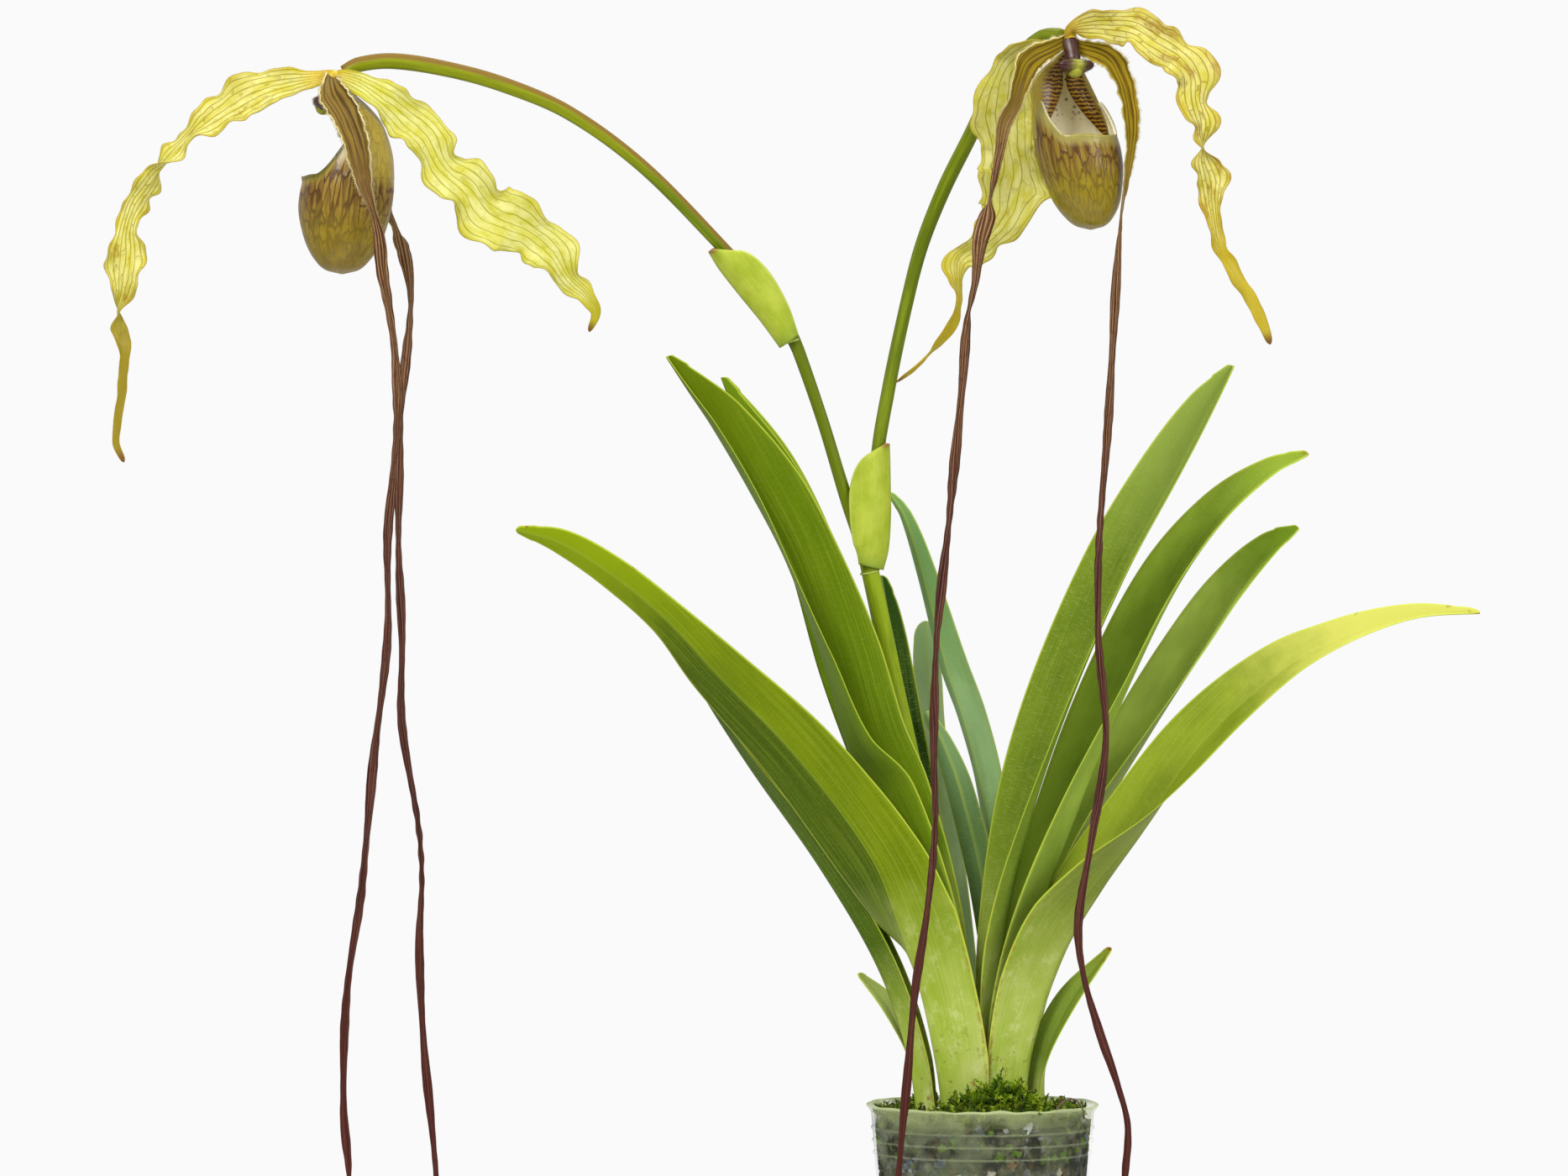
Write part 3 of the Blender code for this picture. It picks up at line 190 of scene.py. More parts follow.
# Flower stations are (x, y, z, half width, turn, curl). Turn 0 faces the viewer; curl is how far the
# edges stand out of the flat, in degrees.
SEPALS = {
    "dorsal_sepal_left": (
        (-253.3, -26.2, 477.5, 3, 20, 12), (-265, -28, 475.5, 5.3, 18, 20), (-276, -29, 473, 8, 16, 24),
        (-286, -30, 468, 8.5, 14, 24), (-295.5, -31, 461.5, 7, 24, 22), (-304, -32, 454.5, 5.2, 40, 20),
        (-311.5, -33, 446.5, 6, 58, 18), (-318, -34, 438.5, 6, 118, 16), (-324, -35, 429, 4.8, 172, 16),
        (-328, -35.5, 418, 4.8, 184, 14), (-328.5, -36, 405.5, 8, 186, 14), (-329.5, -36, 395, 4.2, 196, 12),
        (-331, -36, 387.3, 2.4, 250, 10), (-330, -36, 380, 3.4, 330, 14), (-328.6, -36, 370, 2, 350, 16),
        (-330, -35, 355, 1.7, 352, 16), (-332, -34, 338, 1.4, 352, 16), (-329, -34, 330, 1, 352, 16),
    ),
    "synsepal_left": (
        (-246.2, -29.9, 477.2, 3, -24, 16), (-239, -30.4, 475, 5, -22, 22),
        (-231, -30.4, 469.5, 6.8, -16, 22), (-221, -28.6, 462, 8.8, -10, 22),
        (-213.5, -28, 454.5, 8.4, -6, 20), (-207, -28, 443, 8.2, -2, 16),
        (-197.5, -27.5, 434.5, 10, 2, 14), (-190, -27, 426, 11.6, 4, 14), (-181, -26.5, 421.5, 12, 4, 14),
        (-172, -26, 417, 9.6, 4, 16), (-165, -25, 410.5, 8.8, 6, 18), (-159.5, -24, 401, 5.8, 12, 20),
        (-153, -23.5, 394.5, 3.4, 16, 20), (-149, -23, 388, 2.3, 20, 22), (-151.7, -22, 380.3, 1.1, 30, 20),
    ),
    "dorsal_sepal_right": (
        (31.1, -75.8, 491.6, 2.8, 30, 14), (37, -80, 493, 4.9, 20, 24), (45.5, -86, 492.5, 6.6, 8, 26),
        (54, -91, 491, 7.2, 0, 26), (62.5, -94, 485, 7.8, -8, 20), (70.5, -96, 480, 7.8, -14, 18),
        (76, -96, 472.5, 8.4, -10, 16), (76.3, -96, 463.5, 6, -10, 16), (78.5, -95.5, 456, 5.6, -20, 14),
        (79, -95, 449.5, 4.2, -62, 12), (80.3, -94.5, 441.5, 4.8, -130, 12), (82.3, -94, 434, 6.4, -156, 14),
        (82.6, -93.5, 426, 4.3, -170, 16), (83.8, -93, 417.5, 2.7, -176, 20), (86.2, -92, 409, 2.6, -178, 22),
        (91.5, -91.5, 399.5, 2.6, -180, 24), (97, -91, 390.5, 2.4, -180, 24),
        (102, -90.5, 381, 2.1, -180, 22), (104.8, -90, 373, 1.1, -180, 20),
    ),
    "synsepal_right": (
        (24, -67.5, 486, 2.6, -25, 14), (16.5, -59.5, 484.5, 6.6, -20, 24), (10, -52.5, 478.5, 9, 0, 24),
        (8.4, -47.5, 470, 11, 12, 22), (7.2, -43.5, 460, 13.2, 8, 20), (9, -41.5, 450, 11.8, 4, 18),
        (10.2, -40, 441.5, 11.6, 0, 16), (9, -40, 433, 13.6, -4, 14), (7.5, -40, 424, 9.8, -8, 14),
        (0, -40.5, 415, 7.4, -20, 16), (-10, -41, 407.5, 5.6, -34, 18), (-11, -41, 399.5, 4.2, -40, 20),
        (-10.7, -41, 392, 3, -50, 22), (-12.7, -41, 384, 2.6, -60, 20), (-17.5, -40.5, 375.8, 2.8, -66, 20),
        (-25, -39.5, 368, 2.2, -70, 18), (-34, -38, 360.5, 1, -70, 16),
    ),
}
SEPAL_WAVES = {  # amplitude, wave length, phase, shift between the two edges
    "dorsal_sepal_left": (2.2, 19, 0.6, 1.9),
    "synsepal_left": (3.4, 23, 0.4, 2.4),
    "dorsal_sepal_right": (2.6, 21, 2.0, 1.7),
    "synsepal_right": (3.2, 27, 1.2, 2.2),
}

PETALS = {
    "petal_left_near": (
        (-250.3, -30.1, 476.4, 3, 20, 20), (-249, -38, 471, 5.5, 10, 28), (-244, -44, 463, 5.8, 2, 34),
        (-240, -47, 453, 5.3, -6, 38), (-237.6, -47.5, 444, 5.0, 14, 44), (-235.5, -47.5, 434, 3.9, 34, 44),
        (-232.7, -47, 425, 3.0, 56, 36), (-230.8, -46, 415, 3.8, 20, 34), (-229.5, -44, 403, 3.2, 30, 30),
        (-227.3, -42, 389.5, 2.6, 16, 26), (-225, -40, 370, 2.5, 0, 24), (-224.5, -39, 345, 2.4, -30, 20),
        (-228, -37, 301, 2.1, 0, 20), (-228.2, -36, 262, 2, 30, 20), (-233.3, -36, 218, 2.2, 0, 20),
        (-238.3, -36, 166.5, 2.2, -20, 20), (-243.5, -37, 128, 2.1, 10, 20), (-245, -37, 84, 2, 0, 20),
        (-242.7, -37, 57, 1.9, 60, 20), (-244, -38, 14, 0.9, 90, 20),
    ),
    "petal_left_far": (
        (-249, -22, 476.4, 3, 160, 20), (-246, -10, 467, 6, 170, 30), (-240, -5.5, 452, 6, 176, 34),
        (-232.5, -4.5, 435, 5, 160, 38), (-227.5, -5, 423.5, 3.4, 130, 36), (-224, -6.5, 414, 3.8, 160, 32),
        (-221.5, -8, 401, 3, 190, 26), (-221, -9, 391, 2.4, 210, 24), (-223, -10, 368, 2.4, 180, 22),
        (-224.5, -11, 348, 2.2, 150, 20), (-225.5, -12, 300, 2.1, 190, 20), (-224, -12, 262, 2, 180, 20),
        (-224, -12, 230, 2, 160, 20), (-218, -12.5, 191, 2.2, 220, 20), (-216.5, -13, 170, 2.2, 250, 20),
        (-217.3, -13, 145, 2, 180, 20), (-215.5, -13, 105, 2, 160, 20), (-211, -14, 57, 2, 230, 20),
        (-209.5, -14, 17, 0.9, 270, 20),
    ),
    "petal_right_near": (
        (27.1, -74.1, 486.7, 3, -20, 20), (15.5, -79, 480, 5, -8, 32), (11.5, -82.5, 472, 4.6, -30, 36),
        (9, -84, 463.5, 3.8, -34, 38), (5.5, -84, 456, 3.8, -26, 34), (4.3, -84, 448, 3.4, -24, 30),
        (2.7, -83, 439.5, 2.6, -40, 26), (0.6, -82, 430, 2.4, -84, 24), (-0.9, -81.5, 421.5, 3.8, -150, 24),
        (-3.2, -81, 412.5, 3.8, -166, 24), (-5.2, -80, 396, 2.7, -190, 22), (-7.4, -79, 386, 2.2, -230, 20),
        (-8.5, -78, 376.5, 2.2, -210, 20), (-10.3, -77, 355, 2.3, -184, 20), (-14.8, -74, 307, 2.4, -200, 20),
        (-19.5, -71, 263, 2.1, -160, 20), (-20.4, -69, 219, 2, -180, 20), (-20.1, -68, 193, 2.1, -140, 20),
        (-22.7, -66, 161.5, 1.9, -190, 20), (-27.4, -64, 129.5, 2, -170, 20), (-30.5, -62, 95, 2, -200, 20),
        (-33.5, -60, 60, 1.8, -180, 20), (-35.5, -58, 13, 0.9, -120, 20),
    ),
    "petal_right_far": (
        (34.3, -71, 485.8, 3, 20, 20), (45.3, -70, 481.5, 4.8, -16, 30), (50.3, -71, 472.5, 4.8, -34, 34),
        (52.3, -72, 464, 4.8, -42, 34), (53, -73, 456.5, 4.6, -44, 34), (53, -73.5, 448.3, 3.6, -54, 32),
        (52, -74, 440, 2.8, -62, 30), (50.2, -74, 425, 1.9, -100, 26), (49, -74, 412.5, 1.9, -140, 24),
        (48.1, -74, 398, 2.1, -160, 22), (46.7, -73, 371.5, 2.1, -190, 20), (44.6, -72, 339, 2.1, -170, 20),
        (42, -71, 301, 2, -200, 20), (41.4, -70, 263, 2, -170, 20), (44.3, -69, 225, 2.1, -140, 20),
        (39, -68, 187, 2, -190, 20), (34, -66, 155.5, 2, -170, 20), (36, -65, 136, 2, -130, 20),
        (42.3, -64.5, 114, 1.9, -160, 20), (48.8, -64, 95, 1.9, -190, 20), (52.8, -63, 79, 1.9, -170, 20),
        (51.7, -62, 59, 1.8, -130, 20), (49.5, -61, 15, 0.9, -100, 20),
    ),
}
PETAL_WAVE = (0.7, 9, 0.0, 2.1)

# Each flower's knob sits at the end of its ovary. heading turns its mouth about Z, from -Y, and lean
# carries the lip sideways as it hangs, both in degrees.
FLOWERS = {
    "left": {"place": (-249.2, -26, 477.6), "heading": -85, "lean": 0, "size": 1},
    "right": {"place": (30.5, -72, 488), "heading": 25, "lean": 8.5, "size": 0.94},
}
# Rows of the slipper-shaped lip: depth below the ovary's end, back, front and half breadth.
LIP_RIM = 38
HOOD_FULLER = {"left": 0.0, "right": 0.42}  # how far one side of the hood bulges, as a share
RIM_RISE = 14  # how far the rim climbs at the sides of the mouth
LIP_ABOVE_RIM = (
    (4.1, -2.4, 2), (6.5, -7, 3.6), (11, -12.5, 7), (17, -17.5, 10.5), (24, -20.5, 13.4), (31, -22.2, 15.6),
)
LIP_BELOW_RIM = (
    (LIP_RIM, -22.6, 11, 16.4), (44, -22.6, 12.6, 16.8), (51, -21.6, 13.2, 16.2), (58, -19.6, 12.2, 14.6),
    (64.5, -17, 10.2, 12.7), (70, -13.2, 7, 9.4), (73.6, -9, 3, 5.4),
)
LIP_BOTTOM = (75, -3)
LOBE_SLIT = 1.6  # between the two side lobes that fold in over the mouth
LOBE_TOP = 17  # depth at which the lobes reach the middle
BAND_END = 52  # depth down to which the rim's bands of colour follow the rim as it rises

COLUMN_LENGTH = 11  # from the knob's middle
MOSS_GREENS = ((84, 116, 4), (122, 148, 12), (48, 76, 2), (158, 180, 40), (96, 104, 20))

# Blades' meshes are (steps along, columns across), with half their thickness at the keel.
LEAF_MESH, LEAF_THICKNESS = (130, 18), 0.46
SEPAL_MESH, SEPAL_THICKNESS = (250, 18), 0.34
PETAL_MESH, PETAL_THICKNESS = (460, 12), 0.36
BRACT_MESH, BRACT_THICKNESS = (56, 44), 0.33
STALK_MESH = (110, 28)
LIP_THICKNESS = 0.36
POUCH_MESH = (72, 120)  # rows, columns
HOOD_ROWS, WALL_COLUMNS, LOBE_COLUMNS = 54, 44, 18
SEPAL_HAIRS = (0.55, 0.55, 0.05)  # spacing, length, half thickness
PETAL_CILIA = (0.22, 1.1, 0.09)

COLUMN_STALK = ((0.5, 3.4), (4, 2.9), (8, 2.8), (11, 2))  # from the knob's middle, radius
SHIELD = (7.4, 2.7, 4.6)  # half breadth, half depth, half height
BOSS_RADIUS = 2.9
SHIELD_HAIRS = 520

# ---------------------------------------------------------------- meshes


def make(name, points, faces, finish, replaces=(), attributes=None, uv=None):
    """An object of the orchid from points in millimetres. attributes are each point's values for its
    material."""
    mesh = bpy.data.meshes.new(name)
    mesh.from_pydata((np.asarray(points, float) * MM).tolist(), [], [tuple(map(int, f)) for f in faces])
    for key, values in (attributes or {}).items():
        values = np.asarray(values, np.float32)
        kind, field = ("FLOAT", "value") if values.ndim == 1 else ("FLOAT_VECTOR", "vector")
        layer = mesh.attributes.new(key, kind, "POINT")
        layer.data.foreach_set(field, values.ravel())
    if uv is not None:
        layer = mesh.uv_layers.new(name="UVMap")
        corner = np.empty(len(mesh.loops), np.int32)
        mesh.loops.foreach_get("vertex_index", corner)
        layer.data.foreach_set("uv", np.asarray(uv, np.float32)[corner].ravel())
    mesh.shade_smooth()
    obj = bpy.data.objects.new(name, mesh)
    mesh.materials.append(finish)
    bpy.context.scene.collection.objects.link(obj)
    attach(obj, "root")
    if replaces:
        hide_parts(*replaces)
    return obj


def unit(vectors):
    length = np.linalg.norm(vectors, axis=-1, keepdims=True)
    return vectors / np.maximum(length, 1e-9)


def distances(places):
    """How far along a chain of places each of them lies."""
    return np.concatenate(([0], np.cumsum(np.linalg.norm(np.diff(places, axis=0), axis=1))))


def smooth(at, rows, where):
    """Values at these distances, by a smooth course through rows that lie at the distances at."""
    low = np.maximum(np.arange(len(at)) - 1, 0)
    high = np.minimum(np.arange(len(at)) + 1, len(at) - 1)
    slopes = (rows[high] - rows[low]) / (at[high] - at[low])[:, None]
    i = np.clip(np.searchsorted(at, where, side="right") - 1, 0, len(at) - 2)
    span = (at[i + 1] - at[i])[:, None]
    t = (where - at[i])[:, None] / span
    a, b = (1 + 2 * t) * (1 - t) ** 2, t * (1 - t) ** 2 * span
    c, d = t * t * (3 - 2 * t), t * t * (t - 1) * span
    return a * rows[i] + b * slopes[i] + c * rows[i + 1] + d * slopes[i + 1]


def ease(value, low, high):
    """0 below low, 1 above high, smooth between."""
    t = np.clip((value - low) / (high - low), 0, 1)
    return t * t * (3 - 2 * t)


class Course:
    """A smooth course through stations, measured by the distance along their places."""

    def __init__(self, stations):
        self.rows = np.array(stations, float)
        self.at = distances(self.rows[:, :3])
        self.length = self.at[-1]

    def row(self, distance):
        """Every value at these distances, one row each."""
        return smooth(self.at, self.rows, np.atleast_1d(distance))

    def tangent(self, distance):
        step = self.length * 0.002
        before = self.row(np.maximum(0, distance - step))[:, :3]
        after = self.row(np.minimum(self.length, distance + step))[:, :3]
        return unit(after - before)

    def axes(self, distance, turn):
        """The direction that the face looks in and the direction across the blade."""
        along = self.tangent(distance)
        face = unit(TOWARDS_VIEWER - along * (along @ TOWARDS_VIEWER)[:, None])
        angle = np.radians(turn)[:, None]
        face = face * np.cos(angle) + np.cross(along, face) * np.sin(angle)
        return face, np.cross(along, face)


def quads(rows, columns, closed_rows=False, closed_columns=True):
    """The faces of a grid of points. A closed grid joins its last row or column to its first."""
    faces = []
    for i in range(rows if closed_rows else rows - 1):
        a, b = i * columns, (i + 1) % rows * columns
        for j in range(columns if closed_columns else columns - 1):
            after = (j + 1) % columns
            faces.append((a + j, a + after, b + after, b + j))
    return faces


def shell(middle, half_thickness, closed=False):
    """A closed skin round a grid of middle points. Returns points, faces, each point's grid index and side,
    and the grid's normals."""
    rows, columns = middle.shape[:2]
    d_column = np.roll(middle, -1, 1) - np.roll(middle, 1, 1) if closed else np.gradient(middle, axis=1)
    normal = unit(np.cross(d_column, np.gradient(middle, axis=0)))
    offset = normal * half_thickness[..., None]
    points = np.concatenate(((middle + offset).reshape(-1, 3), (middle - offset).reshape(-1, 3)))
    count, last_row = rows * columns, (rows - 1) * columns
    front = quads(rows, columns, False, closed)
    faces = front + [(count + a, count + d, count + c, count + b) for a, b, c, d in front]
    across = range(columns if closed else columns - 1)
    edge = [(j, (j + 1) % columns) for j in across]
    edge += [(last_row + (j + 1) % columns, last_row + j) for j in across]
    if not closed:
        edge += [(i + columns, i) for i in range(0, last_row, columns)]
        edge += [(i + columns - 1, i + 2 * columns - 1) for i in range(0, last_row, columns)]
    faces += [(b, a, count + a, count + b) for a, b in edge]
    side = np.concatenate((np.ones(count), np.zeros(count)))
    return points, faces, np.tile(np.arange(count), 2), side, normal


def tube(stations, steps, sides, wobble=None):
    """Points and faces of a round tube of changing radius, its rings carried along without twisting."""
    course = Course(stations)
    distance = np.linspace(0, course.length, steps + 1)
    row = course.row(distance)
    along = course.tangent(distance)
    side_axis, sides_of = None, []
    for tangent in along:
        side_axis = np.cross(tangent, UP if side_axis is None else np.cross(side_axis, tangent))
        if np.linalg.norm(side_axis) < 1e-6:
            side_axis = np.cross(tangent, TOWARDS_VIEWER)
        side_axis = unit(side_axis)
        sides_of.append(side_axis)
    side_of = np.array(sides_of)
    other = np.cross(along, side_of)
    angle = np.linspace(0, TAU, sides, endpoint=False)
    ring = side_of[:, None] * np.cos(angle)[None, :, None] + other[:, None] * np.sin(angle)[None, :, None]
    radius = row[:, 3][:, None] * np.ones((1, sides))
    if wobble is not None:
        radius = radius + wobble(distance[:, None], angle[None, :])
    points = (row[:, None, :3] + ring * radius[..., None]).reshape(-1, 3)
    faces = quads(steps + 1, sides)
    faces += [tuple(range(sides))[::-1], tuple(range(steps * sides, (steps + 1) * sides))]
    values = np.stack([a.ravel() for a in np.broadcast_arrays(angle[None, :], distance[:, None], radius)], 1)
    return points, faces, values, ring.reshape(-1, 3)


def round_z(angle, reach):
    """x and y of a point at this angle and reach from Z."""
    return reach * math.cos(angle), reach * math.sin(angle)


def turned(profile, sides, bend=None):
    """Points and quads of a closed (radius, height) profile turned about Z."""
    points = []
    for a in np.linspace(0, TAU, sides, endpoint=False):
        for r, z in profile:
            if bend:
                r, z = bend(a, r, z)
            points.append((*round_z(a, r), z))
    return np.array(points), quads(sides, len(profile), closed_rows=True)


def ball(segments, rings):
    """A unit sphere as points and faces."""
    points = [(0, 0, 1)]
    for i in range(1, rings):
        tilt = math.pi * i / rings
        for k in range(segments):
            turn = TAU * k / segments
            points.append((*round_z(turn, math.sin(tilt)), math.cos(tilt)))
    points.append((0, 0, -1))
    faces = [(0, 1 + k, 1 + (k + 1) % segments) for k in range(segments)]
    faces += [(1 + a, 1 + d, 1 + c, 1 + b) for a, b, c, d in quads(rings - 1, segments)]
    low = 1 + (rings - 2) * segments
    faces += [(low + k, len(points) - 1, low + (k + 1) % segments) for k in range(segments)]
    return np.array(points, float), faces


def spike(root, tip, width):
    """A three-sided hair or cilium from root to tip."""
    along = unit(np.asarray(tip) - np.asarray(root))
    one = np.cross(along, UP if abs(along[2]) < 0.9 else TOWARDS_VIEWER)
    one = unit(one) * width
    two = np.cross(along, one)
    base = [root + one, root - one * 0.5 + two * 0.87, root - one * 0.5 - two * 0.87]
    return np.array([*base, tip]), [(0, 2, 1), (0, 1, 3), (1, 2, 3), (2, 0, 3)]


class Heap:
    """Many small closed pieces gathered into one mesh, each with a tint of its own."""

    def __init__(self):
        self.points, self.faces, self.tints, self.count = [], [], [], 0

    def add(self, points, faces, tint):
        points = np.asarray(points, float)
        self.points.append(points)
        self.faces += [tuple(self.count + i for i in face) for face in faces]
        self.tints.append(np.broadcast_to(np.asarray(tint, float), (len(points), 3)))
        self.count += len(points)

    def make(self, name, slot, finish, replaces=()):
        return make(name, np.concatenate(self.points), self.faces, finish, replaces,
                    {"tint": np.concatenate(self.tints)})


def mend(obj):
    """Merges points that lie together and turns every face outwards."""
    made = bmesh.new()
    made.from_mesh(obj.data)
    bmesh.ops.remove_doubles(made, verts=made.verts, dist=1e-7)
    bmesh.ops.dissolve_degenerate(made, edges=made.edges, dist=1e-7)
    bmesh.ops.recalc_face_normals(made, faces=made.faces)
    made.to_mesh(obj.data)
    made.free()
    obj.data.shade_smooth()
    obj.data.set_sharp_from_angle(angle=math.radians(38))
    return obj


# ---------------------------------------------------------------- blades


def folded(half_width, v, fold):
    """(across, out) of a keeled leaf's section: two halves that rise from a softly rounded keel."""
    tilt = np.radians(fold)
    rise = np.sqrt(v * v + 0.0016) - 0.04
    return half_width * v * np.cos(tilt), half_width * rise * np.sin(tilt)


def curled(half_width, v, curl):
    """(across, out) of a petal's section: an arc whose edges stand curl degrees out of the flat."""
    bend = np.radians(np.maximum(curl, 1))
    radius = half_width / bend
    return radius * np.sin(bend * v), radius * (1 - np.cos(bend * v))


def lay(course, row, share, v, side, out):
    """The middle surface of a blade from its section across and out, and what each of its points carries."""
    distance = course.length * share
    face, across = course.axes(distance, row[:, 4])
    middle = row[:, None, :3] + across[:, None] * side[..., None] + face[:, None] * out[..., None]
    carried = {"distance": distance[:, None], "v": v, "half_width": row[:, 3:4], "share": share[:, None]}
    return middle, {key: np.broadcast_to(value, side.shape) for key, value in carried.items()}


def blade_grid(stations, mesh, section, ripple, wave=(0, 1, 0, 0), tip_rows=0):
    """The middle surface of a blade, what its points carry, and its length."""
    course = Course(stations)
    steps, columns = mesh
    share = np.linspace(0, 1, steps + 1)
    if tip_rows:
        tip = 1 - 0.06 * np.linspace(0, 1, tip_rows) ** 2
        share = np.unique(np.round(np.concatenate((share, tip)), 4))
    distance = course.length * share
    row = course.row(distance)
    half_width = row[:, 3:4]
    height, length, phase, shift = wave
    swell = np.minimum(1, half_width / 5) * np.sin(math.pi * share[:, None]) ** 0.5 if height else 0
    v = np.linspace(-1, 1, columns + 1)[None, :]
    angle = TAU * distance[:, None] / length + phase + np.where(v > 0, shift, 0)
    side, out = section(half_width * (1 + 0.03 * height * swell * np.cos(angle)), v, row[:, 5:6])
    extra_side, extra_out = ripple(distance[:, None], v, half_width, share[:, None])
    side, out = side + extra_side, out + height * swell * np.abs(v) ** 1.6 * np.sin(angle) + extra_out
    return *lay(course, row, share, v, side, out), course.length


def narrowed(middle, keep):
    """A blade's middle surface with its breadth multiplied by keep, about its keel."""
    keel = middle[:, middle.shape[1] // 2][:, None]
    return keel + (middle - keel) * keep[..., None]


def add_blade(name, middle, grid, half_thickness, finish, replaces):
    """A closed blade with the attributes that its material reads. blade is a point's place across, along and
    through it, in millimetres."""
    points, faces, index, side, _ = shell(middle, half_thickness)
    flat = {key: value.reshape(-1)[index] for key, value in grid.items()}
    attributes = {
        "blade": np.stack((flat["v"] * flat["half_width"], flat["distance"], side * 7), 1),
        "share": flat["share"],
        "edge": np.abs(flat["v"]),
        "v": flat["v"],
        "half_width": flat["half_width"],
        "front": side,
    }
    uv = np.stack((flat["v"] * 0.24 + 0.25 + 0.5 * side, flat["share"]), 1)
    return make(name, points, faces, finish, replaces, attributes, uv)


# ---------------------------------------------------------------- materials


def srgb(red, green, blue):
    """A colour as a screen shows it, 0 to 255, in the linear values that materials take."""
    def linear(c):
        c /= 255
        return c / 12.92 if c <= 0.04045 else ((c + 0.055) / 1.055) ** 2.4
    return linear(red), linear(green), linear(blue)


class Wire:
    """A node's output, to be written in sums and products like a number."""

    def __init__(self, graph, socket):
        self.graph, self.socket = graph, socket

    def __add__(self, other):
        return self.graph.math("ADD", self, other)

    def __sub__(self, other):
        return self.graph.math("SUBTRACT", self, other)

    def __rsub__(self, other):
        return self.graph.math("SUBTRACT", other, self)

    def __mul__(self, other):
        return self.graph.math("MULTIPLY", self, other)

    __radd__, __rmul__ = __add__, __mul__


class Graph:
    """A short way to write a material's nodes. Inputs are numbers, tuples or wires. A colour of three numbers
    is as a screen shows it, from 0 to 255, and one of four is linear."""

    def __init__(self, name):
        self.material = bpy.data.materials.new(name)
        self.material.use_nodes = True
        self.tree = self.material.node_tree
        self.shader = self.tree.nodes["Principled BSDF"]
        self.count = 0

    def node(self, kind, inputs=(), output=0, **settings):
        """Adds a node and returns the wire from one of its outputs."""
        node = self.tree.nodes.new("ShaderNode" + kind)
        node.location = (-240 - 190 * (self.count % 9), 300 - 230 * (self.count // 9))
        self.count += 1
        for key, value in settings.items():
            setattr(node, key, value)
        for key, value in dict(inputs).items():
            self.put(node.inputs[key], value)
        return Wire(self, node.outputs[output])

    def put(self, socket, value):
        if isinstance(value, Wire):
            self.tree.links.new(value.socket, socket)
        elif socket.type == "RGBA" and len(value) == 3:
            socket.default_value = (*srgb(*value), 1)
        else:
            socket.default_value = value

    def value(self, key):
        return self.node("Attribute", output="Fac", attribute_name=key)

    def vector(self, key):
        return self.node("Attribute", output="Vector", attribute_name=key)

    def blade(self):
        """A blade's place in millimetres, its share along and how far a point is from the blade's edge."""
        return self.vector("blade"), self.value("share"), self.value("half_width") * (1 - self.value("edge"))

    def place(self):
        """The point in metres, which is the same in the object and in the world here."""
        return self.node("TexCoord", output="Object")

    def scale(self, vector, by):
        return self.node("VectorMath", {0: vector, 1: by}, operation="MULTIPLY")

    def math(self, operation, a, b=0, clamp=False):
        return self.node("Math", {0: a, 1: b}, operation=operation, use_clamp=clamp)

    def off_middle(self, value):
        """How far a value is from the middle between two whole numbers."""
        return self.math("ABSOLUTE", self.math("FRACT", value) - 0.5)

    def from_whole(self, value):
        """How far a value is from the nearest whole number."""
        rest = self.math("FRACT", value)
        return self.math("MINIMUM", rest, 1 - rest)

    def noise(self, vector, scale, detail=3, rough=0.55, output="Fac", distortion=0):
        """Noise from 0 to 1. A scale of three numbers stretches it."""
        if isinstance(scale, tuple):
            vector, scale = self.scale(vector, scale), 1
        inputs = {"Vector": vector, "Scale": scale, "Detail": detail, "Roughness": rough}
        return self.node("TexNoise", inputs | {"Distortion": distortion}, output)

    def cells(self, vector, scale, feature):
        """How far a point is from the nearest border (or middle, with F1) of a pattern of cells."""
        return self.node("TexVoronoi", {"Vector": vector, "Scale": scale}, "Distance", feature=feature)

    def ramp(self, value, *stops):
        """A piecewise course from (value, result) pairs."""
        result = stops[0][1]
        for (low, a), (high, b) in zip(stops, stops[1:]):
            result = self.node("MapRange", {0: value, 1: low, 2: high, 3: 0, 4: b - a}, clamp=True) + result
        return result

    def step(self, value, low, high):
        """0 below low, 1 above high (or the other way round), smooth between."""
        return self.node("MapRange", {0: value, 1: low, 2: high, 3: 0, 4: 1}, interpolation_type="SMOOTHSTEP")

    def mix(self, factor, a, b, blend="MIX"):
        inputs = {0: factor, 6: a, 7: b}
        return self.node("Mix", inputs, 2, data_type="RGBA", blend_type=blend, clamp_factor=True)

    def done(self, colour, rough, bump=None, **fixed):
        """Sets the shader's inputs. bump is (height, distance in metres, strength)."""
        fixed |= {"Base_Color": colour, "Roughness": rough}
        if bump:
            fixed["Normal"] = self.node("Bump", dict(zip(("Height", "Distance", "Strength"), bump)))
        for key, value in fixed.items():
            self.put(self.shader.inputs[key.replace("_", " ")], value)
        return self.material


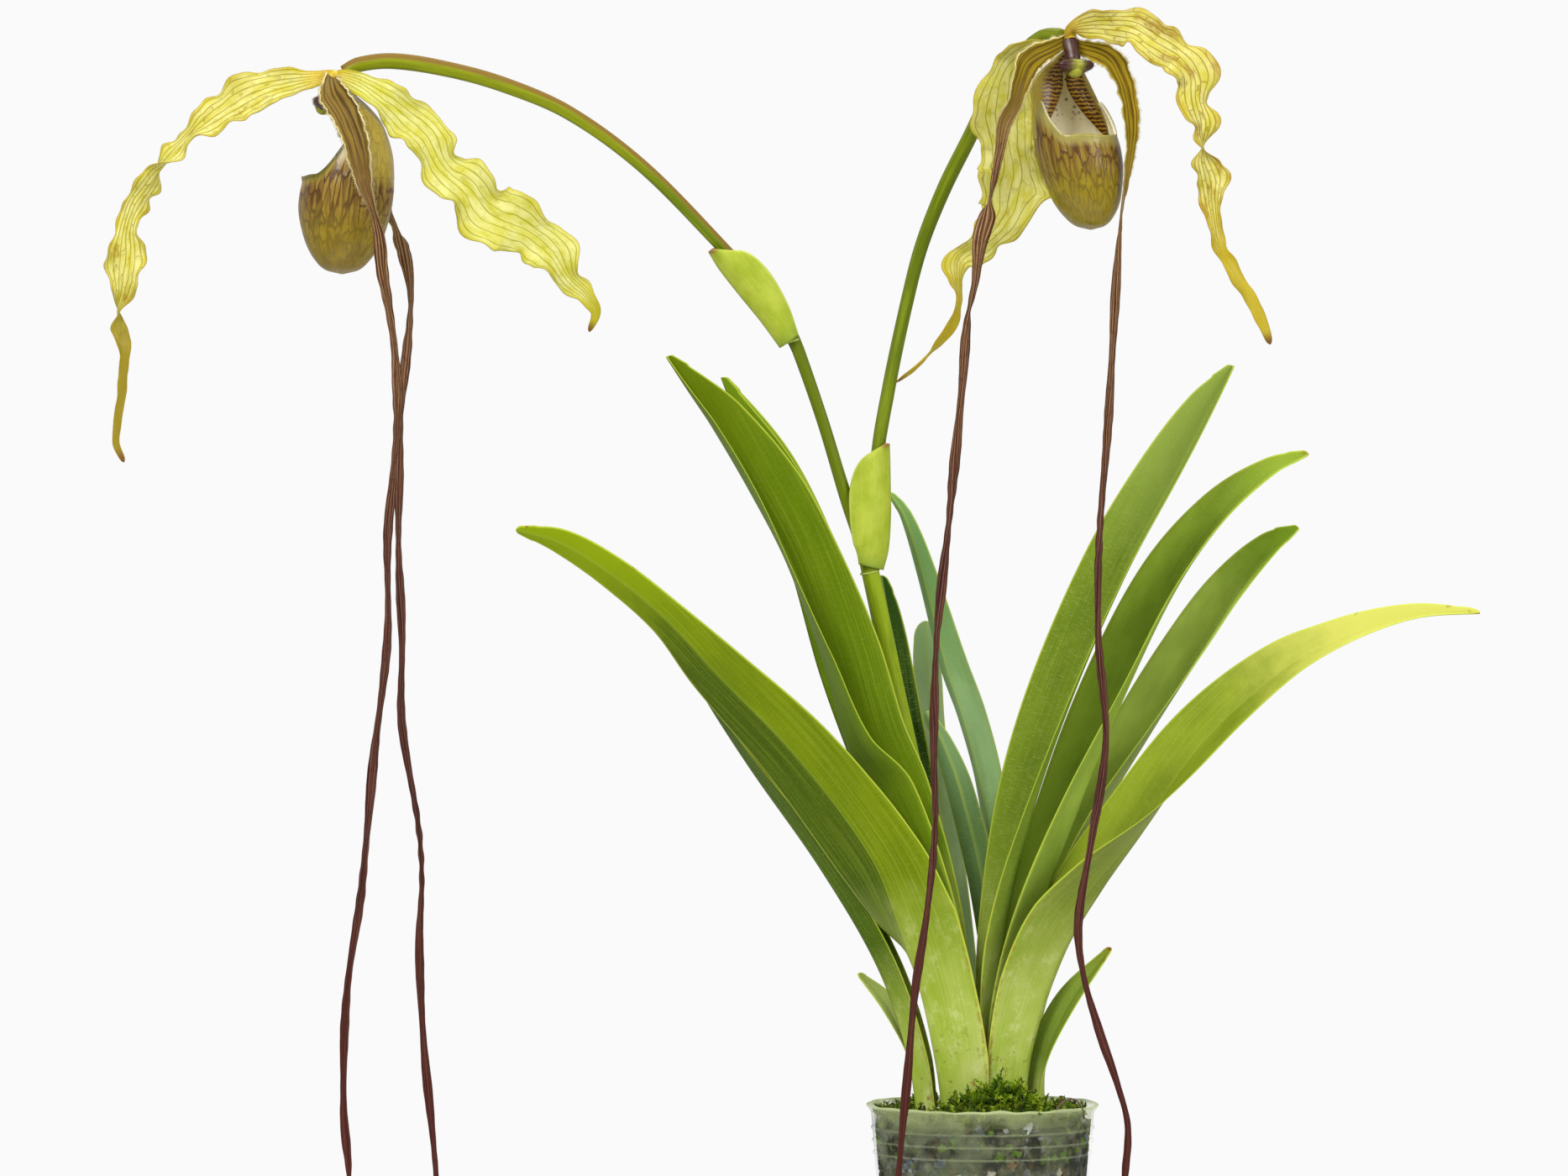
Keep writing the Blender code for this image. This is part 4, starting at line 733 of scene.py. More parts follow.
LEAF_LOOKS = {  # front, back, tip colour, share where the tip starts, dust, cross texture
    "leaf_left_low": ((106, 132, 4), (108, 126, 0), (128, 148, 8), 0.8, 0.1, 0.25),
    "leaf_left_tall": ((94, 118, 0), (100, 126, 10), (92, 110, 0), 0.9, 0.1, 0.25),
    "leaf_left_inner": ((94, 122, 2), (102, 130, 14), (100, 126, 6), 0.95, 0.1, 0.3),
    # painted shade: leaf_left_outer is coloured darker than the other leaves
    "leaf_left_outer": ((62, 88, 0), (60, 86, 0), (60, 84, 0), 0.95, 0.2, 0.4),
    "leaf_left_small": ((190, 206, 116), (148, 172, 78), (146, 160, 80), 0.9, 0.2, 0.3),
    "leaf_right_tall": ((112, 134, 28), (132, 156, 50), (132, 152, 62), 0.78, 0.7, 1),
    "leaf_right_second": ((154, 180, 56), (160, 184, 74), (136, 158, 46), 0.93, 1, 0.9),
    "leaf_right_third": ((184, 204, 92), (142, 162, 66), (108, 136, 22), 0.88, 0.9, 0.8),
    "leaf_right_low": ((136, 152, 34), (120, 132, 48), (196, 196, 90), 0.73, 0.4, 0.5),
    "leaf_right_narrow": ((140, 168, 54), (142, 172, 60), (120, 150, 46), 0.95, 0.3, 0.5),
    "leaf_right_small": ((120, 142, 50), (126, 148, 56), (120, 132, 40), 0.86, 0.2, 0.4),
    # painted shade: leaf_back_dark, behind the others, is coloured far darker than the other leaves
    "leaf_back_dark": ((26, 62, 4), (34, 68, 10), (40, 76, 12), 0.9, 0.1, 0.8),
    "leaf_back_long": ((138, 172, 118), (118, 156, 100), (112, 150, 84), 0.74, 0.4, 1),
    "leaf_back_round": ((184, 208, 156), (142, 174, 116), (160, 192, 130), 0.9, 0.2, 0.8),
    "leaf_back_short": ((112, 146, 94), (104, 138, 84), (122, 154, 98), 0.8, 0.2, 0.8),
}
SHADED_HALF = {"leaf_left_low": (64, 84, 0)}  # painted shade: a leaf's right half coloured darker on its outside
BURNT_TIPS = {"leaf_left_low": 1, "leaf_right_low": 0.9, "leaf_right_second": 0.7, "leaf_right_small": 1}
FLESH = {"Subsurface_Weight": 0.1, "Subsurface_Scale": 1}


def leaf_material(name):
    """Strap leaf: fine lines along it, a cross texture, a pale scurfy foot, rusty seams and a worn tip."""
    front, back, tip, tip_start, dust, cross = LEAF_LOOKS[name]
    g = Graph("leaf_" + name)
    blade, share, from_edge = g.blade()
    streaks = g.noise(blade, (1.5, 0.015, 1), 4, 0.6)
    lines = g.noise(blade, (4.2, 0.02, 1), 2, 0.5)
    weave = g.noise(blade, (0.34, 2.6, 1), 3, 0.65, distortion=0.6)
    patches = g.noise(blade, (0.05, 0.022, 1), 3, 0.6)
    specks = g.noise(blade, 1.7, 2, 0.7)
    worn = g.noise(blade, (0.16, 0.09, 1), 5, 0.75)
    mottle = g.noise(blade, (0.35, 0.25, 1), 4, 0.7)
    wear = g.noise(blade, (0.12, 0.12, 1), 3, 0.6)
    scorch = g.noise(blade, (0.09, 0.09, 1), 4, 0.7)

    # the blade's green, with painted shade on one half of leaf_left_low
    if name in SHADED_HALF:
        back = g.mix(g.step(g.value("v"), -0.02, 0.02), back, SHADED_HALF[name])
    colour = g.mix(g.value("front"), back, front)
    colour = g.mix(g.step(patches, 0.36, 0.66), g.mix(0.34, colour, (62, 88, 0)), colour)
    colour = g.mix(0.2 * g.step(streaks, 0.42, 0.7), colour, (166, 184, 56))
    colour = g.mix(0.1 * g.step(lines, 0.5, 0.7), colour, (50, 84, 4))
    colour = g.mix(0.3 * cross * g.step(weave, 0.5, 0.66), colour, (168, 188, 104))

    # the pale foot, with scurf, rust and brown seams
    base = g.ramp(share, (0, 1), (0.13, 0.86), (0.33, 0))
    foot = g.mix(g.step(0.22 * streaks + 0.78 * patches, 0.36, 0.64), (158, 182, 56), (194, 206, 110))
    colour = g.mix(0.84 * base, colour, foot)
    colour = g.mix(0.45 * (g.step(worn, 0.5, 0.66) * base), colour, (210, 214, 150))
    rust = g.step(mottle, 0.57, 0.64) * g.ramp(share, (0, 0.9), (0.08, 0.5), (0.15, 0))
    colour = g.mix(rust, colour, (126, 84, 40))
    seam = g.step(mottle, 0.46, 0.58) * g.step(from_edge, 2, 0.5)
    colour = g.mix(seam * g.ramp(share, (0.02, 0.7), (0.22, 0.5), (0.3, 0)), colour, (142, 96, 52))

    # the tip, keel and margin, and what lies on the leaf
    tip_place = share + 0.1 * (wear - 0.5)
    colour = g.mix(g.step(tip_place, tip_start - 0.12, tip_start + 0.12), colour, tip)
    keel = g.step(g.value("edge") * g.value("half_width"), 0.8, 0.15)
    keel_paleness = 0.4 if "back" in name else 0.12
    colour = g.mix(keel_paleness * keel, colour, (172, 190, 84))
    colour = g.mix(0.55 * g.step(from_edge, 0.8, 0.25), colour, (196, 210, 70))
    scorched = g.step(scorch, 0.6, 0.68) * g.step(from_edge, 1.5, 0.2) * g.ramp(share, (0.7, 0), (0.86, 0.9))
    burn = g.math("MAXIMUM", scorched, g.step(tip_place, 0.992, 1.006))
    colour = g.mix(0.9 * BURNT_TIPS.get(name, 0) * burn, colour, (132, 66, 16))
    colour = g.mix(0.6 * (dust * g.step(specks, 0.68, 0.77)), colour, (206, 214, 160))
    bump = (0.7 * weave + 0.5 * lines, 0.00016, 0.35 + 0.35 * cross)
    return g.done(colour, 0.42 + 0.2 * weave, bump, Specular_IOR_Level=0.07)


def sepal_material(name, tail, tail_start, browning):
    """Cream sepal with a net of ribs and rungs. browning turns the net from olive to brown."""
    g = Graph("sepal_" + name)
    blade, share, from_edge = g.blade()
    shift = 1.5 * (g.noise(blade, (0.16, 0.05, 1), 2, 0.5) - 0.5)
    patchy = g.noise(blade, (0.4, 0.22, 1), 2, 0.5)
    pale = g.noise(blade, (0.3, 0.12, 1), 3, 0.6)
    stain = g.noise(blade, (0.14, 0.06, 1), 4, 0.65)

    lanes = 3.6 * g.value("v") + (shift + 20)
    rib = g.step(g.from_whole(lanes) * g.value("half_width"), 1.2, 0.05)
    along = g.node("SeparateXYZ", {0: blade}, 1)
    rung_at = 0.11 * along + (0.618 * g.math("FLOOR", lanes) + 1.5 * patchy)
    rung = g.step(g.from_whole(rung_at), 0.13, 0.01) * g.step(patchy, 0.4, 0.56)
    mark = g.math("MAXIMUM", (0.3 + 0.45 * browning) * rung, 0.8 * rib)

    cell = g.mix(g.step(pale, 0.3, 0.7), (214, 211, 132), (192, 187, 62))
    colour = g.mix(0.28 * browning, cell, (204, 172, 66))
    colour = g.mix(mark, colour, g.mix(browning, (146, 144, 0), (126, 78, 16)))
    colour = g.mix(g.ramp(share, (0, 0.85), (0.07, 0)), colour, (206, 166, 22))
    band = g.mix(browning, (184, 178, 24), (170, 130, 44))
    colour = g.mix(0.5 * g.step(from_edge, 1.7, 0.35), colour, band)
    stained = g.step(stain, 0.7 - 0.3 * browning, 0.84 - 0.3 * browning)
    colour = g.mix(0.62 * stained, colour, (140, 98, 30))
    in_tail = g.step(share + 0.16 * (stain - 0.5), tail_start, tail_start + 0.2)
    colour = g.mix(0.82 * in_tail, colour, tail)
    colour = g.mix(g.step(share, 0.965, 0.995), colour, (112, 76, 34))
    colour = g.mix(0.6 * g.step(from_edge, 0.32, 0.05), colour, (160, 124, 30))
    height = (0.4 * pale - mark) * g.ramp(share, (tail_start - 0.05, 1), (tail_start + 0.1, 0.1))
    return g.done(colour, 0.42 + 0.16 * pale, (height, 0.0003, 0.5), Specular_IOR_Level=0.15,
                  Subsurface_Radius=(0.0012, 0.0009, 0.0003), **FLESH)


def petal_material(name, broad, broad_vein, broad_end):
    """The broad foot of the petal in its own colours and the long maroon ribbon that hangs from it."""
    g = Graph("petal_" + name)
    blade, share, from_edge = g.blade()
    fine = g.noise(blade, (2.3, 0.02, 1), 3, 0.6)
    wide = g.noise(blade, (0.9, 0.012, 1), 2, 0.5)
    spots = g.noise(blade, (0.5, 0.35, 1), 3, 0.6)
    sway = 2.4 * g.noise(blade, (0.2, 0.03, 1), 2, 0.5)
    lane = g.off_middle(2.3 * g.value("v") + (sway + 9))

    foot = g.mix(0.75 * g.step(fine, 0.5, 0.62), broad, broad_vein)
    foot = g.mix(0.35 * g.step(spots, 0.5, 0.7), foot, broad)
    foot = g.mix(0.66 * g.step(lane, 0.3, 0.1), foot, broad_vein)
    foot = g.mix(g.step(from_edge - 0.7 * spots, 0.25, -0.2), foot, (224, 210, 150))

    upper = g.mix(g.step(fine, 0.42, 0.62), (70, 38, 20), (132, 96, 58))
    lower = g.mix(g.step(fine, 0.46, 0.68), (48, 17, 12), (104, 58, 44))
    ribbon = g.mix(g.ramp(share, (0.12, 0), (0.42, 1)), upper, lower)
    light = g.mix(g.ramp(share, (0.12, 0), (0.45, 1)), (184, 150, 100), (136, 94, 76))
    thread = g.step(lane, 0.17, 0.05) * g.ramp(share, (0.2, 0.8), (0.7, 0.4))
    ribbon = g.mix(thread, ribbon, light)
    ribbon = g.mix(0.3 * g.step(wide, 0.56, 0.68), ribbon, (140, 104, 84))
    ribbon = g.mix(0.4 * g.step(spots, 0.5, 0.7), ribbon, (58, 24, 20))
    ribbon = g.mix(g.ramp(share, (0.66, 0), (0.86, 0.6)), ribbon, (70, 22, 16))
    ribbon = g.mix(0.45 * g.step(from_edge, 0.35, 0.1), ribbon, (66, 32, 28))

    hanging = g.step(share + 0.05 * (spots - 0.5), broad_end - 0.03, broad_end + 0.06)
    bump = (fine + 0.4 * spots, 0.0004, 0.8)
    return g.done(g.mix(hanging, foot, ribbon), 0.4 + 0.2 * fine, bump, Specular_IOR_Level=0.14)


def lip_material(name, wall, wall_low, front_veins, rim_colour, band, mesh):
    """Outside: olive with purple-brown veins below the rim. Inside: ivory with dots. Lobes: ochre, spotted.
    band is the pale rim's depth in millimetres and mesh how many cells of veins go round the pouch."""
    g = Graph("lip_" + name)
    depth, around, place = g.value("depth"), g.value("around"), g.place()
    mottle = g.noise(place, 260, 3, 0.6)

    web = g.node("CombineXYZ", {0: around * mesh, 1: depth * (mesh * 0.0031)})
    warp = g.scale(g.noise(web, 0.7, 3, 0.6, "Color"), (1.5, 1.1, 0))
    bent = g.node("VectorMath", {0: web, 1: warp}, operation="ADD")
    vein = g.step(g.cells(bent, 1, "DISTANCE_TO_EDGE"), 0.15, 0.02)
    trunk = g.step(g.noise(bent, (0.9, 0.12, 1), 2, 0.5), 0.5, 0.56)
    near = front_veins * g.ramp(depth, (8, 0.4), (31, 0.25), (39.5, 0.4), (43, 1), (50, 0.85), (58, 0.45),
                                (66, 0.2), (75, 0.1))
    dark = g.math("MAXIMUM", 0.5 * trunk, vein) * near

    colour = g.mix(g.step(depth, 30, 62), wall, wall_low)
    colour = g.mix(0.26 * g.step(mottle, 0.35, 0.7), colour, (176, 160, 50))
    brown = 0.5 * front_veins * g.ramp(depth, (39, 0), (43, 1), (50, 0.8), (58, 0))
    colour = g.mix(brown, colour, (120, 76, 34))
    colour = g.mix(0.88 * dark, colour, (64, 26, 4))
    colour = g.mix(0.24 * vein * g.step(depth, 44, 60), colour, (88, 84, 34))
    rim = g.ramp(depth, (33.5, 0), (36.5, 1), (38 + 0.4 * band, 0.85), (38 + band, 0))
    rim = rim * g.step(g.math("ABSOLUTE", around), 0.3, 0.24)
    colour = g.mix(0.8 * rim, colour, rim_colour)

    dot = g.step(g.cells(place, 420, "F1"), 0.34, 0.2) * g.ramp(depth, (14, 1), (24, 0.8), (31, 0.1))
    inner = g.mix(0.9 * dot, (255, 246, 214), (80, 36, 26))
    inner = g.mix(g.step(depth, 44, 66), inner, (190, 180, 100))
    colour = g.mix(g.value("outside"), inner, colour)

    spot = g.step(g.off_middle(0.62 * depth + 1.6 * g.noise(place, 420, 2, 0.6)), 0.36, 0.22)
    lobe = g.mix(0.92 * spot, (160, 120, 32), (52, 20, 6))
    colour = g.mix(g.step(g.value("lobe"), 0.12, 0.4), colour, lobe)
    bump = (dark + 0.5 * mottle, 0.0003, 0.4)
    return g.done(colour, 0.16 + 0.18 * mottle, bump, Specular_IOR_Level=0.34,
                  Subsurface_Radius=(0.0015, 0.0012, 0.0004), **FLESH)


def stem_material(name, low, high, high_from, top_brown=0):
    """A green stalk. high takes over along it, and brown lies on its upper side where the sun reaches."""
    g = Graph("stem_" + name)
    skin = g.vector("skin")
    lines = g.noise(skin, (2.4, 0.03, 0), 3, 0.6)
    patch = g.noise(skin, (0.5, 0.06, 0), 4, 0.6)
    grain = g.noise(skin, (5, 1.2, 0), 3, 0.6)
    colour = g.mix(g.step(g.value("share"), high_from - 0.1, high_from + 0.1), low, high)
    colour = g.mix(0.25 * g.step(lines, 0.45, 0.65), colour, (170, 186, 40))
    colour = g.mix(0.3 * g.step(patch, 0.42, 0.66), colour, (78, 104, 20))
    tan = top_brown * g.step(g.value("upper") + 0.5 * patch, 0.2, 0.7)
    colour = g.mix(tan, colour, (126, 96, 34))
    return g.done(colour, 0.36 + 0.2 * grain, (lines + 0.4 * grain, 0.0002, 0.5), Specular_IOR_Level=0.16)


def bract_material():
    g = Graph("bract_sheath")
    blade, share = g.vector("blade"), g.value("share")
    lines = g.noise(blade, (1.1, 0.02, 1), 3, 0.6)
    patch = g.noise(blade, (0.12, 0.08, 1), 3, 0.6)
    colour = g.mix(g.step(patch, 0.35, 0.65), (170, 182, 60), (150, 166, 38))
    colour = g.mix(0.2 * g.step(lines, 0.46, 0.7), colour, (188, 200, 84))
    colour = g.mix(g.ramp(share, (0, 0.7), (0.12, 0)), colour, (120, 146, 50))
    colour = g.mix(g.step(g.value("edge"), 0.93, 1), colour, (196, 204, 96))
    colour = g.mix(g.step(share, 0.95, 1), colour, (150, 112, 60))
    return g.done(colour, 0.4 + 0.18 * patch, (lines + 0.4 * patch, 0.00025, 0.5), Specular_IOR_Level=0.16)


def tinted_material(name, rough, scale, depth, variation=0.4, specular=0.35, coat=0):
    """Small pieces that carry their own tint, each worked over with grain at its real scale."""
    g = Graph(name)
    place, tint = g.place(), g.vector("tint")
    grain = g.noise(place, scale, 4, 0.65)
    blotch = g.noise(place, scale * 0.22, 3, 0.6)
    dark = g.mix(variation, tint, g.mix(1, tint, (0.25, 0.25, 0.22, 1), "MULTIPLY"))
    colour = g.mix(g.step(grain, 0.35, 0.65), dark, tint)
    colour = g.mix(variation * g.step(blotch, 0.45, 0.7), colour, g.mix(0.3, tint, (0.4, 0.38, 0.2, 1)))
    return g.done(colour, rough + 0.2 * grain, (grain, depth, 0.7), Specular_IOR_Level=specular,
                  Coat_Weight=coat, Coat_Roughness=0.25)


def pot_material():
    """Milky clear plastic with algae on its inside near the rim and pale ribs, nearly clear lower down."""
    g = Graph("pot_plastic")
    place = g.place()
    height, across = (1000 * g.node("SeparateXYZ", {0: place}, axis) for axis in (2, 0))
    cloud = g.noise(place, 70, 3, 0.5)
    fine = g.noise(place, 600, 4, 0.7)
    scratch = g.noise(g.scale(place, (0.25, 0.25, 3)), 300, 3, 0.6)
    green_here = g.ramp(height, (50, 0.1), (64, 0.4), (74, 0.9), (81, 0.8))
    left = g.ramp(across, (-42, 1), (-14, 1), (0, 0.4))
    green = g.step(cloud, 0.38, 0.62) * green_here * left
    colour = g.mix(g.step(cloud, 0.3, 0.7), (192, 200, 164), (172, 182, 138))
    colour = g.mix(0.95 * green, colour, (38, 56, 0))
    colour = g.mix(0.6 * g.step(height, 72, 80), colour, (196, 208, 140))
    colour = g.mix(0.25 * g.step(fine, 0.6, 0.72), colour, (232, 236, 232))
    lowest, gap = POT_HEIGHT - RIB_DEPTHS[-1], RIB_DEPTHS[1] - RIB_DEPTHS[0]
    rib = g.step(g.off_middle((height - (lowest - gap / 2)) * (1 / gap)), 0.12, 0.05)
    rib = rib * (g.step(height, 61, 62) * g.step(height, 76, 75))
    haze = g.ramp(height, (0, 0.03), (58, 0), (75, 0), (79, 0.1), (81.3, 0.25), (82.2, 0.6))
    haze = haze + 0.12 * (cloud - 0.5) + 0.5 * green + 0.12 * rib
    haze = g.math("MAXIMUM", haze, 0.022, clamp=True)
    bump = (scratch + fine, 0.0002, 0.5)
    return g.done(colour, 0.22 + 0.24 * scratch, bump, Specular_IOR_Level=0.22, Alpha=haze)


def floor_material():
    g = Graph("studio_floor")
    cloud = g.noise(g.place(), 6, 3, 0.5)
    colour = g.mix(cloud, (0.74, 0.74, 0.737, 1), (0.76, 0.76, 0.757, 1))
    return g.done(colour, 0.6 + 0.1 * cloud, Specular_IOR_Level=0.2)


# ---------------------------------------------------------------- leaves and stalks

FOOT_FLARE = {  # which half, heights and how many times wider it is there, where the feet close up
    "leaf_left_low": (-1, (76, 98, 126, 152, 178, 200), (1.2, 1.25, 1.25, 1.3, 1.06, 1.0)),
    "leaf_right_low": (1, (76, 98, 126, 152, 178, 200), (1.0, 1.1, 1.3, 1.35, 1.15, 1.0)),
}


def rounded_tip(distance, length, reach):
    """The factor that rounds off a blade's blunt end over a short reach."""
    left = np.clip((length - distance) / reach, 0, 1)
    return np.sqrt(1 - (1 - left) ** 2 * 0.97)


def round_cap(grid, length, reach):
    """The factor that turns a blade's pointed end into a half ellipse of this reach."""
    distance, width = grid["distance"][:, 0], grid["half_width"][:, 0]
    at_start = np.interp(length - reach, distance, width)
    into = np.clip((distance - (length - reach)) / reach, 0, 1)
    wanted = at_start * np.sqrt(np.maximum(1 - into**2, 0.0004))
    return np.where(into > 0, np.clip(wanted / width, 0.02, 1.12), 1)[:, None]


def leaf(name, stations):
    """A keeled leaf with a crisp margin. The angles of its two halves become a turn and a fold."""
    rows = [(x, y, z, w, (left - right) / 2, (left + right) / 2) for x, y, z, w, left, right in stations]
    seed = sum(map(ord, name))

    def ripple(distance, v, half_width, share):
        lift = 0.35 * np.sin(distance / 21 + seed) * v * np.abs(v)
        return 0, lift * np.minimum(1, half_width / 8)

    middle, grid, length = blade_grid(rows, LEAF_MESH, folded, ripple, tip_rows=34)
    keep = round_cap(grid, length, min(8, 0.045 * length))
    flare = np.ones_like(grid["v"])
    if name in FOOT_FLARE:
        half, heights, wider = FOOT_FLARE[name]
        wider = np.interp(middle[:, 9, 2], heights, wider)[:, None]
        flare = np.where(grid["v"] * half > 0, wider, 1)
    middle = narrowed(middle, keep * flare)
    grid["half_width"] = grid["half_width"] * keep
    thickness = LEAF_THICKNESS * (1 - 0.74 * np.abs(grid["v"]) ** 3)
    return add_blade(name + "_blade", middle, grid, thickness, leaf_material(name), (name,))


def stalk(name, stations, finish, ribs, rib_height):
    """A round stalk with fine ribs along it."""
    def wobble(distance, angle):
        swell = np.sin(distance / 9 + 2 * np.sin(distance / 31)) * 0.05
        return rib_height * np.cos(ribs * angle) + swell

    points, faces, values, ring = tube(stations, *STALK_MESH, wobble)
    skin = np.stack((np.sin(values[:, 0]) * 6, values[:, 1], np.cos(values[:, 0]) * 6), 1)
    attributes = {"skin": skin, "upper": ring[:, 2], "share": values[:, 1] / values[:, 1].max()}
    return make(name + "_stalk", points, faces, finish, (name,), attributes)


def bract(name, stations, finish):
    """A folded, bulging sheath: its keel follows the stations and its two halves close over a stalk."""
    course = Course(stations)
    steps, columns = BRACT_MESH
    share = np.linspace(0, 1, steps + 1)
    row = course.row(course.length * share)
    v = np.linspace(-1, 1, columns + 1)[None, :]
    closing = np.radians(row[:, 6:7])
    side = row[:, 5:6] * np.maximum(0, np.sin(closing * np.abs(v))) ** 0.7 * np.sign(v)
    middle, grid = lay(course, row, share, v, side, row[:, 3:4] * np.abs(v))
    thickness = BRACT_THICKNESS * (1 - 0.6 * np.abs(grid["v"]) ** 4)
    return add_blade(name + "_sheath", middle, grid, thickness, finish, (name,))


def joint_ring(name, place, axis, radius, finish):
    """The raised scar line where a sheath leaves its stalk."""
    axis = unit(np.array(axis, float))
    one = unit(np.cross(axis, TOWARDS_VIEWER))
    two = np.cross(axis, one)
    around, sides = 40, 10
    points = []
    for angle in (TAU * k / around for k in range(around)):
        spoke = one * math.cos(angle) + two * math.sin(angle)
        thick = 0.42 + 0.08 * math.sin(5 * angle)
        for turn in (TAU * m / sides for m in range(sides)):
            points.append(place + spoke * (radius + thick * math.cos(turn)) + axis * thick * math.sin(turn))
    tint = np.tile(srgb(186, 196, 92), (len(points), 1))
    return make(name, points, quads(around, sides, closed_rows=True), finish, (), {"tint": tint})


# ---------------------------------------------------------------- flowers

SEPAL_LOOKS = {  # tail colour, share where the tail starts, browning
    "dorsal_sepal_left": ((134, 116, 18), 0.6, 0.42),
    "synsepal_left": ((166, 156, 10), 0.82, 0),
    "dorsal_sepal_right": ((178, 158, 30), 0.62, 0.62),
    "synsepal_right": ((166, 146, 14), 0.6, 0.16),
}
PETAL_LOOKS = {  # broad foot, its veins, share where the ribbon takes over
    "petal_left_near": ((134, 108, 40), (56, 34, 6), 0.1),
    "petal_left_far": ((118, 92, 34), (62, 36, 12), 0.12),
    "petal_right_near": ((138, 118, 4), (66, 36, 2), 0.07),
    "petal_right_far": ((174, 152, 24), (90, 44, 6), 0.12),
}


def cilia(name, edges, hair, tint, slot, finish, rng):
    """Fine hairs standing out from blade edges, each edge a list of points, outward directions and shares
    of the hairs that are kept. hair is their spacing, length and half thickness."""
    every, length, width = hair
    heap = Heap()
    for places, outward, keep in edges:
        at = distances(places)
        for distance in np.arange(every, at[-1], every):
            distance += rng.uniform(-0.4, 0.4) * every
            share = np.interp(distance, at, keep)
            if rng.random() > share:
                continue
            root, way = (
                np.array([np.interp(distance, at, row[:, k]) for k in range(3)]) for row in (places, outward)
            )
            way = unit(unit(way) + rng.normal(0, 0.28, 3))
            reach = length * rng.uniform(0.5, 1.25) * (0.5 + 0.5 * share)
            points, faces = spike(root - way * 0.2, root + way * reach, width)
            heap.add(points, faces, np.array(tint) * rng.uniform(0.8, 1.15))
    return heap.make(name, slot, finish)


def edges_of(middle, keep):
    """The two edges of a blade, for its hairs."""
    return [(middle[:, a], unit(middle[:, a] - middle[:, b]), keep) for a, b in ((0, 2), (-1, -3))]


def from_knob(name, stations):
    """The stations with one more inside the knob, so that the flower's parts meet there."""
    place = FLOWERS["left" if "left" in name else "right"]["place"]
    first = stations[0]
    inner = [a + (b - a) * 0.8 for a, b in zip(first[:3], place)]
    return ((*inner, max(2.6, first[3]), *first[4:]), *stations)


def sepal(name, stations, rng):
    """A sepal with a crimped, lobed margin and a grooved keel. Returns its edges."""
    phase = rng.uniform(0, TAU, 4)

    def ripple(distance, v, half_width, share):
        right = v > 0
        reach = np.minimum(1, half_width / 6) * np.sin(math.pi * share) ** 0.5
        crimp = 0.55 * np.sin(distance / 1.35 + phase[0] + 1.3 * np.sin(distance / 5) + 2 * right)
        crimp = crimp + 0.5 * np.sin(distance / 2.6 + phase[1] + 1.7 * right)
        keel = -0.35 * np.exp(-(v / 0.12) ** 2)
        lobes = 1.05 * np.sin(distance / 2.5 + phase[2] + 2.3 * right + 0.9 * np.sin(distance / 7))
        lobes = lobes + 0.4 * np.sin(distance / 1.25 + phase[3] + right)
        side = reach * np.sign(v) * np.abs(v) ** 3 * lobes
        return side, reach * (crimp * np.abs(v) ** 3 + keel)

    middle, grid, length = blade_grid(from_knob(name, stations), SEPAL_MESH, curled, ripple, SEPAL_WAVES[name])
    middle = narrowed(middle, rounded_tip(grid["distance"], length, 2.5))
    thickness = SEPAL_THICKNESS * (1 - 0.66 * np.abs(grid["v"]) ** 2)
    finish = sepal_material(name, *SEPAL_LOOKS[name])
    add_blade(name + "_blade", middle, grid, thickness, finish, (name,))
    return edges_of(middle, np.interp(grid["share"][:, 0], (0, 0.04, 0.9, 1), (0.3, 1, 0.9, 0.3)))


def petal(name, stations, rng):
    """A petal: a frilled broad foot and a long twisting ribbon of uneven breadth. Returns its edges."""
    broad_end = PETAL_LOOKS[name][2]
    phase = rng.uniform(0, TAU, 3)

    def ripple(distance, v, half_width, share):
        broad = np.clip(1 - share / (broad_end * 1.5), 0, 1) ** 0.5
        ragged = np.sin(distance / 0.55 + phase[0]) + np.sin(distance / 1.1 + phase[1] + 2 * (v > 0))
        side = 0.3 * broad * ragged * np.sign(v) * np.abs(v) ** 6
        frill = 0.3 * broad * np.sin(distance / 1.3 + phase[2] + (v > 0)) * np.abs(v) ** 3
        groove = -0.22 * (1 - broad) * np.cos(v * 5.2)
        return side, frill + groove

    def hanging(share):
        """0 on the broad foot, 1 on the ribbon."""
        return np.clip((share - broad_end * 0.8) / 0.05, 0, 1)

    rows = np.array(from_knob(name, stations), float)
    course = Course(rows)
    rest = hanging(course.at / course.length)
    rows[:, 3] *= 1 - 0.1 * rest
    rows[:, 4] += rest * 24 * np.sin(course.at / 14 + phase[0])
    middle, grid, length = blade_grid(rows, PETAL_MESH, curled, ripple, PETAL_WAVE)
    uneven = 1 - 0.17 * hanging(grid["share"]) * (1 + np.sin(grid["distance"] / 7.5 + phase[1]))
    middle = narrowed(middle, rounded_tip(grid["distance"], length, 4) * uneven)
    thickness = PETAL_THICKNESS * (1 - 0.6 * np.abs(grid["v"]) ** 2)
    finish = petal_material(name, *PETAL_LOOKS[name])
    add_blade(name + "_ribbon", middle, grid, thickness, finish, (name,))
    hairy = ((0, 0.01, broad_end, broad_end + 0.06, 1), (0.6, 1, 0.9, 0, 0))
    return edges_of(middle, np.interp(grid["share"][:, 0], *hairy))


def flower_axes(side):
    """Forward, sideways and down of a flower. Down leans sideways as the lip hangs."""
    heading = math.radians(FLOWERS[side]["heading"])
    forward = np.array((math.sin(heading), -math.cos(heading), 0))
    sideways = np.array((math.cos(heading), math.sin(heading), 0))
    return forward, sideways, sideways * math.tan(math.radians(FLOWERS[side]["lean"])) - UP


